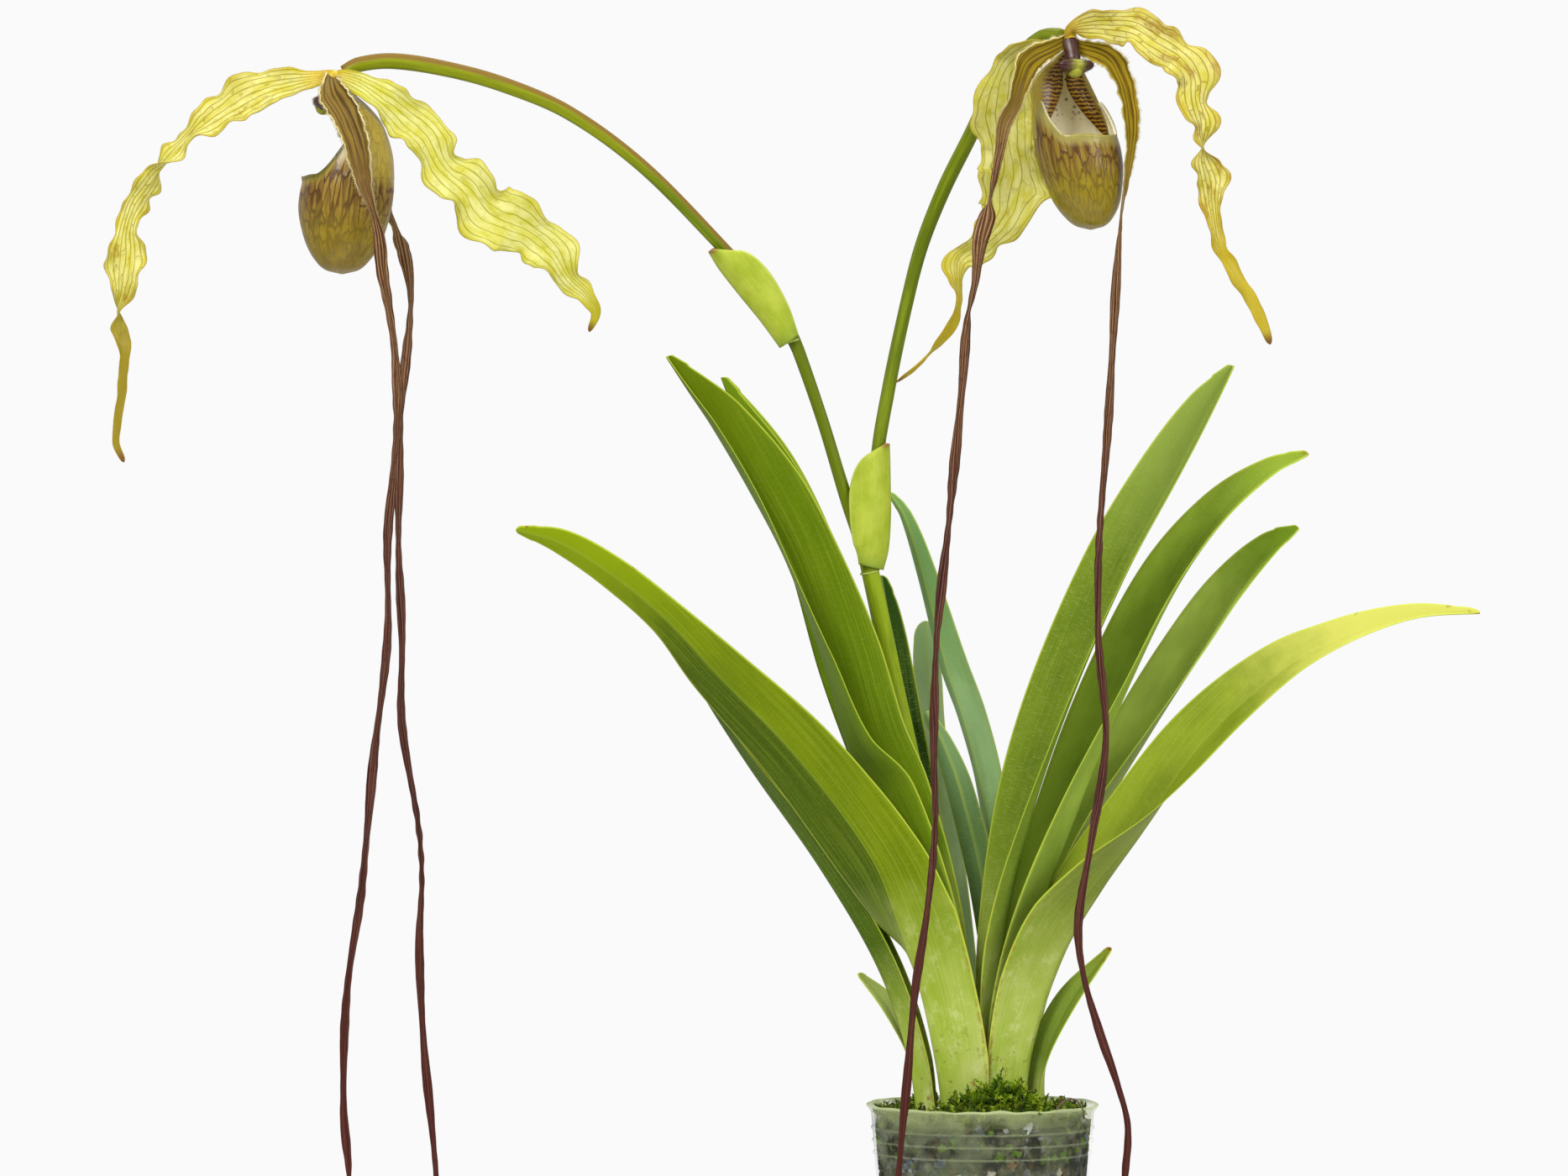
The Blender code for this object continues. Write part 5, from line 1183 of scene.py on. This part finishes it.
def add_lip_part(name, side, measures, thickness, around, lobe, shown_depth, finish, replaces, closed):
    """One closed skin of the slipper, from how far its points lie forward, sideways and down of the knob.
    Its material reads shown_depth, the angle around from the front and how far on a lobe a point is."""
    place = np.array(FLOWERS[side]["place"])
    middle = sum(axis * measure[..., None] for axis, measure in zip(flower_axes(side), measures))
    middle = place + middle * FLOWERS[side]["size"]
    points, faces, index, skin, normal = shell(middle, thickness, closed)
    values = {"depth": shown_depth, "around": around, "lobe": lobe}
    flat = {key: np.broadcast_to(value, thickness.shape).reshape(-1)[index] for key, value in values.items()}
    outward = np.sign(((middle - (place - UP * 46)) * normal).sum(-1).mean())
    flat["outside"] = skin if outward > 0 else 1 - skin
    return make(name, points, faces, finish, replaces, flat)


def from_front(angle):
    """An angle round the lip as part of a whole turn, 0 at the front."""
    return (np.mod(angle + math.pi, TAU) - math.pi) / TAU


def lip_rows(rows, depth):
    """Each measure of the lip's rows at these depths."""
    rows = np.array(rows, float)
    values = smooth(rows[:, 0], rows[:, 1:], depth.ravel())
    return (values[:, k].reshape(depth.shape) for k in range(values.shape[1]))


def pouch(side, finish):
    """The rounded bowl of the slipper, with a rolled rim that rises at its sides to meet the hood."""
    rows, columns = POUCH_MESH
    angle = np.linspace(0, TAU, columns, endpoint=False)[None, :]
    degrees = np.degrees(np.abs(np.mod(angle + math.pi, TAU) - math.pi))
    rise = RIM_RISE * ease(degrees, 42, 84) * (1 - ease(degrees, 94, 108))
    top = LIP_RIM - rise + 0.25 * np.sin(7 * angle) * (degrees < 60)
    share = np.sin(np.linspace(0, 1, rows) * math.pi / 2)[:, None] ** 0.9
    bottom, forward = LIP_BOTTOM
    depth = top + (bottom - top) * share
    above = [(d, b, b + 1.9 * h + 1.2 * (d / LIP_RIM) ** 3, h) for d, b, h in LIP_ABOVE_RIM[2:]]
    ends = (bottom, forward - 0.4, forward + 0.4, 0.4)
    back, front, half = lip_rows([*above, *LIP_BELOW_RIM, ends], np.minimum(depth, bottom))
    facing = np.clip(np.cos(angle), 0, 1)
    near_rim = np.exp(-(((depth - top) / 1.5) ** 2)) * (degrees < 100)
    roll = 0.9 * near_rim * facing
    crease = 0.22 * np.cos(9 * angle) * np.exp(-(((depth - 47) / 9) ** 2))
    forward_by = (front + back) / 2 + ((front - back) / 2 + roll + crease) * np.cos(angle)
    sideways_by = (half + 0.4 * roll) * np.sin(angle)
    shown = np.where(depth < BAND_END, LIP_RIM + (depth - top) * (BAND_END - LIP_RIM) / (BAND_END - top), depth)
    thickness = LIP_THICKNESS + 0.26 * near_rim
    return add_lip_part(f"lip_{side}_pouch", side, (forward_by, sideways_by, depth), thickness,
                        from_front(angle), 0, shown, finish, (f"lip_{side}",), True)


def hood(side, finish):
    """The high back wall of the slipper and the two side lobes that fold in over its mouth."""
    end = LIP_RIM + 1.2
    depth = np.linspace(LIP_ABOVE_RIM[0][0], end, HOOD_ROWS)[:, None]
    _, rim_back, _, rim_half = LIP_BELOW_RIM[0]
    above = [*LIP_ABOVE_RIM, (LIP_RIM, rim_back, rim_half), (LIP_RIM + 1.5, rim_back, rim_half)]
    back, half = lip_rows(above, depth)
    reach = half * 0.95
    middle_line = back + reach
    spread = np.clip((depth - LOBE_TOP) / (LIP_RIM - LOBE_TOP), 0, 1) ** 1.2
    inner = LOBE_SLIT / 2 + spread * half * 0.86
    angle = np.linspace(math.pi / 2, 3 * math.pi / 2, WALL_COLUMNS)[None, :]
    wall_forward, wall_sideways = middle_line + reach * np.cos(angle), half * np.sin(angle)
    on_lobe = np.linspace(0, 1, LOBE_COLUMNS + 1)[None, 1:]
    fade = np.clip((end - depth) / 10, 0, 1)
    bulge = 2.4 * np.sin(math.pi * np.minimum(on_lobe, 0.9) / 0.9 * 0.62) - 2.2 * on_lobe * on_lobe
    curl_in = 1.3 * fade * np.clip((on_lobe - 0.7) / 0.3, 0, 1) ** 2
    lobe_forward = middle_line + fade * bulge - curl_in
    lobe_sideways = half + (inner - half) * on_lobe
    forward_by = np.concatenate((lobe_forward[:, ::-1], wall_forward, lobe_forward), 1)
    sideways_by = np.concatenate((lobe_sideways[:, ::-1], wall_sideways, -lobe_sideways), 1)
    depth = np.broadcast_to(depth, forward_by.shape)
    fuller = HOOD_FULLER[side] * np.exp(-(((depth - 14) / 9) ** 2))
    sideways_by = np.where(sideways_by < 0, sideways_by * (1 + fuller), sideways_by)
    lobe = np.concatenate((on_lobe[:, ::-1], np.zeros_like(angle), on_lobe), 1)
    quarter = np.full_like(on_lobe, 0.25)
    around = np.concatenate((quarter, from_front(angle), -quarter), 1)
    thickness = 0.4 - 0.12 * np.broadcast_to(lobe, depth.shape)
    return add_lip_part(f"lip_{side}_hood", side, (forward_by, sideways_by, depth), thickness,
                        around, lobe, depth, finish, (), False)


def column(side, finish, rng):
    """The lumpy knob, the column's stalk and its dark shield with a fringe of hairs."""
    place = np.array(FLOWERS[side]["place"], float)
    forward, sideways, _ = flower_axes(side)
    axis = unit(forward * 0.4 - UP * 0.92)
    out = np.cross(sideways, axis)
    tip = place + axis * COLUMN_LENGTH
    dark, green, amber = np.array((srgb(62, 10, 8), srgb(160, 160, 30), srgb(204, 176, 24)))
    heap = Heap()
    unit_ball, ball_faces = ball(28, 18)
    lumps = np.array([noise.noise(Vector(p) * 2.1) for p in unit_ball])
    heap.add(place + unit_ball * (2.9 + 0.35 * lumps)[:, None], ball_faces, amber)
    stations = [(*(place + axis * d), r) for d, r in COLUMN_STALK]
    points, faces, _, _ = tube(stations, 20, 20, lambda d, a: 0.12 * np.cos(4 * a))
    heap.add(points, faces, dark)
    x, y, z = unit_ball.T
    notch = 0.9 * np.exp(-(x / 0.22) ** 2) * (z < 0)
    breadth, depth, height = SHIELD
    shape = np.stack((x * breadth, y * depth, z * height * (1 - 0.35 * np.abs(x)) - 1.4 * x**2 + notch), 1)
    frame_of = np.stack((sideways, axis, out))
    centre = np.exp(-(x / 0.34) ** 2)[:, None]
    heap.add(tip + shape @ frame_of, ball_faces, dark * (1 - centre) + green * centre)
    heap.add(tip + axis * 1.3 + out * 0.6 + unit_ball * BOSS_RADIUS, ball_faces, green)
    for _ in range(SHIELD_HAIRS):
        p = shape[rng.integers(len(shape))]
        if abs(p[0]) < 2.4:
            continue
        root = tip + p @ frame_of
        way = unit(unit(p * (0.5, 2, 1)) @ frame_of + rng.normal(0, 0.35, 3))
        heap.add(*spike(root - way * 0.2, root + way * rng.uniform(0.5, 1.2), 0.07), dark * 0.9)
    return heap.make(f"column_{side}_parts", "column", finish, (f"column_{side}",))


# ---------------------------------------------------------------- pot, mix, moss and rhizome

CHIP_TINTS = (  # tint, how common
    ((74, 82, 92), 0.26), ((46, 50, 54), 0.22), ((104, 112, 120), 0.13), ((58, 44, 34), 0.12),
    ((92, 72, 50), 0.08), ((150, 154, 152), 0.07), ((60, 84, 34), 0.07), ((176, 170, 156), 0.03),
    ((150, 112, 96), 0.02),
)
STUBS = (  # x, y, z, how far the old sheath leans
    (-24, -14, 80.5, 1), (-20.5, -15, 79, 0.6), (28, -12, 84, 1.6), (26, -15, 82, 0.9), (-31, -6, 79, -1),
    (30, 4, 81, 1.2), (-28, 16, 80, -1.4), (12, 30, 81, 0.5), (-8, 31, 80, -0.6),
)
WIRY_ROOTS = (  # x, y, z, radius
    (
        (25, -34, 79, 0.42), (29, -36, 85.4, 0.4), (33.5, -35, 86.8, 0.38), (37, -31, 83.5, 0.36),
        (38, -28, 79, 0.34),
    ),
    ((-34, -24, 79, 0.34), (-31, -28, 82, 0.34), (-27, -30, 81, 0.3), (-25, -31, 78, 0.3)),
)


def pot_radius(z):
    """Outer radius of the tapered wall."""
    return POT_BASE_RADIUS + (POT_NECK_RADIUS - POT_BASE_RADIUS) * np.minimum(z, POT_NECK) / POT_NECK


def rim_wave(angle):
    """How far the soft rim dips below its full height: most across the front, where it has been handled."""
    front = np.exp(-(((angle - 1.5 * math.pi) + math.pi) % TAU - math.pi) ** 2 / 0.5)
    wave = 0.5 * np.sin(angle * 11 + 0.4) + 0.35 * np.sin(angle * 19 + 2)
    return -0.75 + 0.22 * wave + front * (0.1 + 0.35 * np.sin(angle * 9 - 0.5) + 0.3 * np.sin(angle * 23))


def pot_profile():
    """(radius, height) up the outside of the pot, down its inside and over its floor and feet."""
    outside = [(POT_BASE_RADIUS - 0.6, 0), (POT_BASE_RADIUS, 0.5)]
    outside += [(pot_radius(z), z) for z in (12, 26, 40, 52)]
    for z in (POT_HEIGHT - depth for depth in reversed(RIB_DEPTHS)):
        outside.append((pot_radius(z - RIB_HALF), z - RIB_HALF))
        outside += [(pot_radius(z) + out, z + above) for above, out in RIB_SHAPE]
        outside.append((pot_radius(z + RIB_HALF), z + RIB_HALF))
    outside += [(POT_NECK_RADIUS, POT_NECK), (43.9, POT_NECK + 1.2), (44.6, POT_NECK + 2.1)]
    outside += [(POT_RIM_RADIUS, POT_HEIGHT - 0.7), (POT_RIM_RADIUS, POT_HEIGHT - 0.2)]
    outside += [(POT_RIM_RADIUS - 0.3, POT_HEIGHT)]
    floor = FOOT_RECESS + POT_WALL
    inside = [(44.3, POT_HEIGHT - 0.25), (43.7, POT_NECK + 2.2), (43, POT_NECK + 1.3)]
    inside += [(POT_NECK_RADIUS - POT_WALL, POT_NECK)]
    inside += [(pot_radius(z) - POT_WALL, z) for z in (60, 40, 20, floor)]
    inside += [(20, floor), (0, floor), (0, 0), (CENTRE_FOOT_RADIUS, 0), (CENTRE_FOOT_RADIUS + 1, FOOT_RECESS)]
    foot = [(POT_BASE_RADIUS - FOOT_WIDTH - 1, FOOT_RECESS), (POT_BASE_RADIUS - FOOT_WIDTH, 0)]
    return outside + inside + foot


def pot():
    """The thin milky pot: tapered wall with three ribs, a soft flared rim, drain holes and feet."""
    def bend(angle, r, z):
        high = np.clip((z - 72) / 10, 0, 1) ** 2
        return r - 0.35 * high * max(0, math.sin(angle * 5 + 1)), z - rim_wave(angle) * high

    points, faces = turned(pot_profile(), 168, bend)
    obj = mend(make("pot_wall", points, faces, pot_material(), ("pot",)))
    holes = bpy.data.collections.new("drain_cutters")
    bpy.context.scene.collection.children.link(holes)
    cutters = []
    for k in range(DRAIN_HOLES):
        x, y = round_z(TAU * (k + 0.5) / DRAIN_HOLES, DRAIN_CIRCLE * MM)
        bpy.ops.mesh.primitive_cylinder_add(
            vertices=24, radius=DRAIN_RADIUS * MM, depth=8 * MM, location=(x, y, 2 * MM)
        )
        cutter = bpy.context.object
        for holder in list(cutter.users_collection):
            holder.objects.unlink(cutter)
        holes.objects.link(cutter)
        cutters.append(cutter)
    cut = obj.modifiers.new("drain_holes", "BOOLEAN")
    cut.operand_type, cut.collection, cut.operation, cut.solver = "COLLECTION", holes, "DIFFERENCE", "EXACT"
    bpy.context.view_layer.objects.active = obj
    bpy.ops.object.modifier_apply(modifier=cut.name)
    for cutter in cutters:
        bpy.data.objects.remove(cutter)
    bpy.data.collections.remove(holes)


def pebble(rng, radii):
    """A broken stone or chip: a coarse ball pushed out of true, as points and faces."""
    points, faces = ball(8, 6)
    push = 1 + 0.26 * rng.normal(0, 1, len(points))
    points = points * np.clip(push, 0.62, 1.4)[:, None] * radii
    turn, _ = np.linalg.qr(rng.normal(0, 1, (3, 3)))
    return points @ turn, faces


def potting_mix(finish, rng):
    """Gravel, bark and charcoal packed against the clear wall and lying loose on top."""
    colours = [np.array(srgb(*tint)) for tint, _ in CHIP_TINTS]
    odds = np.array([share for _, share in CHIP_TINTS])
    odds = odds / odds.sum()
    heap = Heap()
    for _ in range(WALL_CHIPS):
        angle, z = rng.uniform(0, TAU), rng.uniform(FOOT_RECESS + 3, 75)
        size = rng.uniform(1.4, 3.6) * rng.uniform(0.7, 1.2)
        radii = np.array((size, size * rng.uniform(0.6, 1), size * rng.uniform(0.5, 0.9)))
        points, faces = pebble(rng, radii)
        points = points + (*round_z(angle, pot_radius(z) - POT_WALL - size * 0.72), z)
        far = np.hypot(points[:, 0], points[:, 1])
        limit = pot_radius(np.clip(points[:, 2], 0, 80)) - POT_WALL - 0.12
        points[:, :2] *= np.minimum(1, limit / far)[:, None]
        points[:, 2] = np.clip(points[:, 2], FOOT_RECESS + POT_WALL + 0.2, 80)
        tint = colours[rng.choice(len(colours), p=odds)]
        if z > 62 and rng.random() < 0.45:
            tint = np.array(srgb(70, 100, 10))
        heap.add(points, faces, tint * (0.1 + 1.05 * rng.random() ** 1.3))
    for _ in range(TOP_CHIPS):
        angle, reach = rng.uniform(0, TAU), MIX_REACH * math.sqrt(rng.uniform(0.12, 1))
        size = rng.uniform(1.2, 3.2)
        points, faces = pebble(rng, np.array((size, size * 0.8, size * 0.55)))
        points = points + (*round_z(angle, reach), 75.4 + rng.uniform(-0.8, 1))
        tint = colours[rng.choice(len(colours), p=odds)]
        heap.add(points, faces, tint * rng.uniform(0.6, 1.2))
    profile = [(z and pot_radius(z) - POT_WALL - 0.9, z) for z in (3, 20, 40, 60, 74)]
    points, faces = turned(profile + [(36, 75.6), (0, 75.2), (0, 3)], 96)
    bump = np.array([noise.noise(Vector(p) * 0.25) for p in points])
    heap.add(points * (1 + 0.012 * bump)[:, None], faces, srgb(30, 30, 28))
    return mend(heap.make("mix_chips", "potting_mix", finish, ("potting_mix",)))


def moss_height(x, y):
    """Top of the moss: a mound in front of the leaves, lower and patchy towards the rim."""
    mound = 11 * math.exp(-(((x - 6) / 17) ** 2 + ((y + 22) / 10) ** 2))
    tufts = 2.2 * noise.noise(Vector((x, y, 3)) * 0.33) + 1.6 * noise.noise(Vector((x, y, 9)) * 0.8)
    return MOSS_BOTTOM + 2.6 + mound + tufts


def sprig(heap, rng, root, way, length, tint):
    """One feathery shoot: a bent stalk with narrow leaflets all round it."""
    bend = unit(rng.normal(0, 1, 3)) * length * 0.22
    steps, leaflets = 5, 20
    line = [root + way * length * i / steps + bend * (i / steps) ** 2 for i in range(steps + 1)]
    for a, b in zip(line, line[1:]):
        heap.add(*spike(a, b + (b - a) * 0.25, 0.16), tint * 0.7)
    for k in range(leaflets):
        t = (k + 0.5) / leaflets * steps
        i = min(int(t), steps - 1)
        place = line[i] + (line[i + 1] - line[i]) * (t - i)
        out = unit(np.cross(way, rng.normal(0, 1, 3)))
        aim = unit(out * 0.9 + way * 0.75)
        reach = rng.uniform(1.8, 3.3) * (1 - 0.55 * k / leaflets)
        heap.add(*spike(place, place + aim * reach, 0.42), tint * rng.uniform(0.45, 1.6))


def cushion():
    """The moss's body, a lumpy ring between the crown's recess and the pot's wall, as points and faces."""
    sides, across = 120, 16
    half, front, back = RECESS
    points = []
    for share in (i / across for i in range(across + 1)):
        for angle in (TAU * k / sides for k in range(sides)):
            inner = (half * math.cos(angle), (front + back) / 2 + (back - front) / 2 * math.sin(angle))
            x, y = (a + (b - a) * share for a, b in zip(inner, round_z(angle, MOSS_REACH)))
            lump = noise.noise(Vector((x, y, 1)) * 1.3)
            points.append((x, y, moss_height(x, y) - 1.9 + lump - (2.4 if share == 1 else 0)))
    faces = quads(across + 1, sides)
    low, outer = len(points), across * sides
    points += [(x, y, MOSS_BOTTOM - 1.4) for x, y, _ in points[:sides] + points[outer:]]
    for a in range(sides):
        b = (a + 1) % sides
        faces += [(a, b, low + b, low + a), (outer + a, outer + b, low + sides + b, low + sides + a)]
        faces.append((low + a, low + b, low + sides + b, low + sides + a))
    return points, faces


def moss(finish, rng):
    """A cushion of feathery shoots in front of the leaves and scattered tufts round the rim."""
    heap = Heap()
    greens = np.array([srgb(*tint) for tint in MOSS_GREENS])
    placed = 0
    while placed < SHOOTS + TUFTS:
        if placed < SHOOTS:
            x, y = 6 + rng.normal(0, 12), -24 + rng.normal(0, 7)
        else:
            x, y = round_z(rng.uniform(0, TAU), rng.uniform(33, MIX_REACH))
        if math.hypot(x, y) > MIX_REACH or (placed < SHOOTS and y > -12):
            placed += placed >= SHOOTS
            continue
        z = MOSS_BOTTOM - 1 + (moss_height(x, y) - MOSS_BOTTOM) * rng.uniform(0.25, 1.05)
        lean = unit(np.array((rng.normal(0, 0.6), -0.35 + rng.normal(0, 0.5), 1)))
        # painted shade and light: shoots that sit lower in the cushion are coloured darker, the highest ones
        # lighter
        tint = greens[rng.choice(5, p=(0.3, 0.27, 0.2, 0.15, 0.08))] * (0.5 + 0.75 * (z - 76) / 12)
        length = min(rng.uniform(3.2, 6.4), max(2, 97 - z))
        sprig(heap, rng, np.array((x, y, z)), lean, length, tint)
        placed += 1
    sprig(heap, rng, np.array((5.5, -27, 87.5)), unit(np.array((0.05, -0.1, 1))), 8.5, greens[0])
    heap.add(*cushion(), srgb(48, 62, 16))
    return mend(heap.make("moss_shoots", "moss", finish, ("moss",)))


def rhizome(finish, rng):
    """The woody crown with old sheath stubs round the leaf feet, and its roots down into the mix."""
    heap = Heap()

    def add_tube(stations, steps, sides, wobble, tint):
        points, faces, _, _ = tube(stations, steps, sides, wobble)
        heap.add(points, faces, tint)

    lumpy, lumpy_faces = ball(48, 28)
    for x, y, length, breadth in RHIZOME_LOBES:
        push = np.array([1 + 0.07 * noise.noise(Vector(p) * 3.1 + Vector((x, y, 0))) for p in lumpy])
        heap.add(lumpy * push[:, None] * (length, breadth, 4.6) + (x, y, 74.6), lumpy_faces, srgb(84, 84, 40))
    for x, y in ROOTS:
        stations = [(x, y, 74, 2), (x + 0.4, y, 66, 1.8), (x - 0.5, y + 0.4, 57, 1.7), (x, y, 45, 0.9)]
        add_tube(stations, 24, 14, lambda d, a: 0.12 * np.sin(d * 1.3 + 2 * a), srgb(150, 140, 104))
    for x, y, z, tilt in STUBS:
        middle, top = (x + tilt * 0.5, y - 0.3, z - 2, 1.3), (x + tilt, y - 0.6, z + 2.5, 0.25)
        stations = [(x, y, z - 6, 1.6), middle, top]
        tint = np.array(srgb(82, 52, 30)) * rng.uniform(0.6, 1.2)
        add_tube(stations, 10, 9, lambda d, a: 0.25 * np.sin(3 * a + d), tint)
    for stations in WIRY_ROOTS:
        add_tube(stations, 30, 7, None, srgb(96, 84, 56))
    return heap.make("rhizome_crown", "rhizome", finish, ("rhizome",))


# ---------------------------------------------------------------- studio and camera

BACKDROP = (0.955, 0.955, 0.955)
SKY = (1, 1, 1)
SKY_STRENGTH = 0.54
LIGHTS = (  # name, place, what it shines on, watts, size
    ("key", (-1.1, -1.7, 1.7), (-0.07, 0, 0.28), 42, 0.9),
    ("fill", (1.4, -1.6, 0.9), (-0.07, 0, 0.28), 24, 1.2),
    ("top", (0.1, 0.5, 1.9), (-0.07, 0, 0.3), 17, 1.4),
)
FLOOR_RADIUS = 0.52
FLOOR_PLACE = (-0.07, 0, -0.0004)
CAMERA_PLACE = (-0.0769, -2.6, 0.282)
LENS, SENSOR_WIDTH = 154.25, 36


def soft_light(name, place, target, power, size):
    light = bpy.data.lights.new(name, "AREA")
    light.energy, light.size = power, size
    obj = bpy.data.objects.new(name, light)
    obj.location = place
    obj.rotation_euler = (Vector(target) - Vector(place)).to_track_quat("-Z", "Y").to_euler()
    bpy.context.scene.collection.objects.link(obj)


def studio():
    """A plain near-white sweep of light and a pale floor, with soft lights from above and the front."""
    world = bpy.data.worlds.new("studio")
    world.use_nodes = True
    bpy.context.scene.world = world
    tree = world.node_tree
    background = tree.nodes["Background"]
    backdrop = tree.nodes.new("ShaderNodeBackground")
    backdrop.inputs["Color"].default_value = (*BACKDROP, 1)
    background.inputs["Color"].default_value = (*SKY, 1)
    background.inputs["Strength"].default_value = SKY_STRENGTH
    path = tree.nodes.new("ShaderNodeLightPath")
    mix = tree.nodes.new("ShaderNodeMixShader")
    tree.links.new(path.outputs["Is Camera Ray"], mix.inputs[0])
    tree.links.new(background.outputs[0], mix.inputs[1])
    tree.links.new(backdrop.outputs[0], mix.inputs[2])
    tree.links.new(mix.outputs[0], tree.nodes["World Output"].inputs["Surface"])
    bpy.ops.mesh.primitive_circle_add(vertices=96, radius=FLOOR_RADIUS, fill_type="NGON", location=FLOOR_PLACE)
    floor = bpy.context.object
    floor.name = "studio_floor"
    floor.data.materials.append(floor_material())
    for light in LIGHTS:
        soft_light(*light)


def camera():
    scene = bpy.context.scene
    data = bpy.data.cameras.new("photo")
    data.sensor_width, data.lens = SENSOR_WIDTH, LENS
    data.clip_start, data.clip_end = 0.1, 50
    obj = bpy.data.objects.new("photo", data)
    obj.location, obj.rotation_euler = CAMERA_PLACE, (math.pi / 2, 0, 0)
    scene.collection.objects.link(obj)
    scene.camera = obj
    scene.view_settings.view_transform = "Standard"
    scene.view_settings.look = "None"


# ---------------------------------------------------------------- everything


def build():
    rng = np.random.default_rng(7)
    for name, stations in LEAVES.items():
        leaf(name, stations)
    scape = stem_material("scape", (142, 164, 20), (90, 106, 0), 0.74)
    right = stem_material("ovary_right", (96, 112, 0), (106, 120, 0), 0.6, 0.1)
    left = stem_material("ovary_left", (94, 112, 0), (130, 138, 4), 0.4, 0.95)
    stalk("flower_stem", SCAPE, scape, 7, 0.05)
    stalk("ovary_right", OVARY_RIGHT, right, 6, 0.12)
    stalk("ovary_left", OVARY_LEFT, left, 6, 0.12)
    sheath = bract_material()
    for name, stations in BRACTS.items():
        bract(name, stations, sheath)
    scar = tinted_material("scar_tissue", 0.45, 900, 0.0001)
    joint_ring("scar_lower", (-43.6, 5.6, 288.2), (-0.25, -0.1, 1), 3.5, scar)
    joint_ring("scar_upper", (-73.6, 0.5, 377.6), (-0.3, -0.05, 1), 2.7, scar)
    hair = tinted_material("fine_hairs", 0.5, 1500, 0.00005, 0.2)
    sepal_edges, petal_edges = [], []
    for name, stations in SEPALS.items():
        sepal_edges += sepal(name, stations, rng)
    for name, stations in PETALS.items():
        petal_edges += petal(name, stations, rng)
    cilia("sepal_hairs", sepal_edges, SEPAL_HAIRS, srgb(196, 178, 92), "sepal", hair, rng)
    cilia("petal_cilia", petal_edges, PETAL_CILIA, srgb(226, 212, 160), "petal", hair, rng)
    lip_left = lip_material("left", (172, 150, 60), (132, 108, 14), 1, (44, 56, 4), 2.6, 46)
    lip_right = lip_material("right", (158, 138, 46), (138, 118, 10), 0.95, (158, 150, 84), 5.5, 44)
    velvet = tinted_material("column_velvet", 0.3, 700, 0.0002, 0.3, coat=0.3)
    for side, finish in (("left", lip_left), ("right", lip_right)):
        pouch(side, finish)
        hood(side, finish)
        column(side, velvet, rng)
    pot()
    potting_mix(tinted_material("mix_stone", 0.75, 900, 0.0004, 0.6, specular=0.1), rng)
    moss(tinted_material("moss_leaf", 0.6, 1600, 0.0001, 0.35, specular=0.12), rng)
    rhizome(tinted_material("crown_wood", 0.7, 500, 0.0005, 0.5), rng)


build()
studio()
camera()
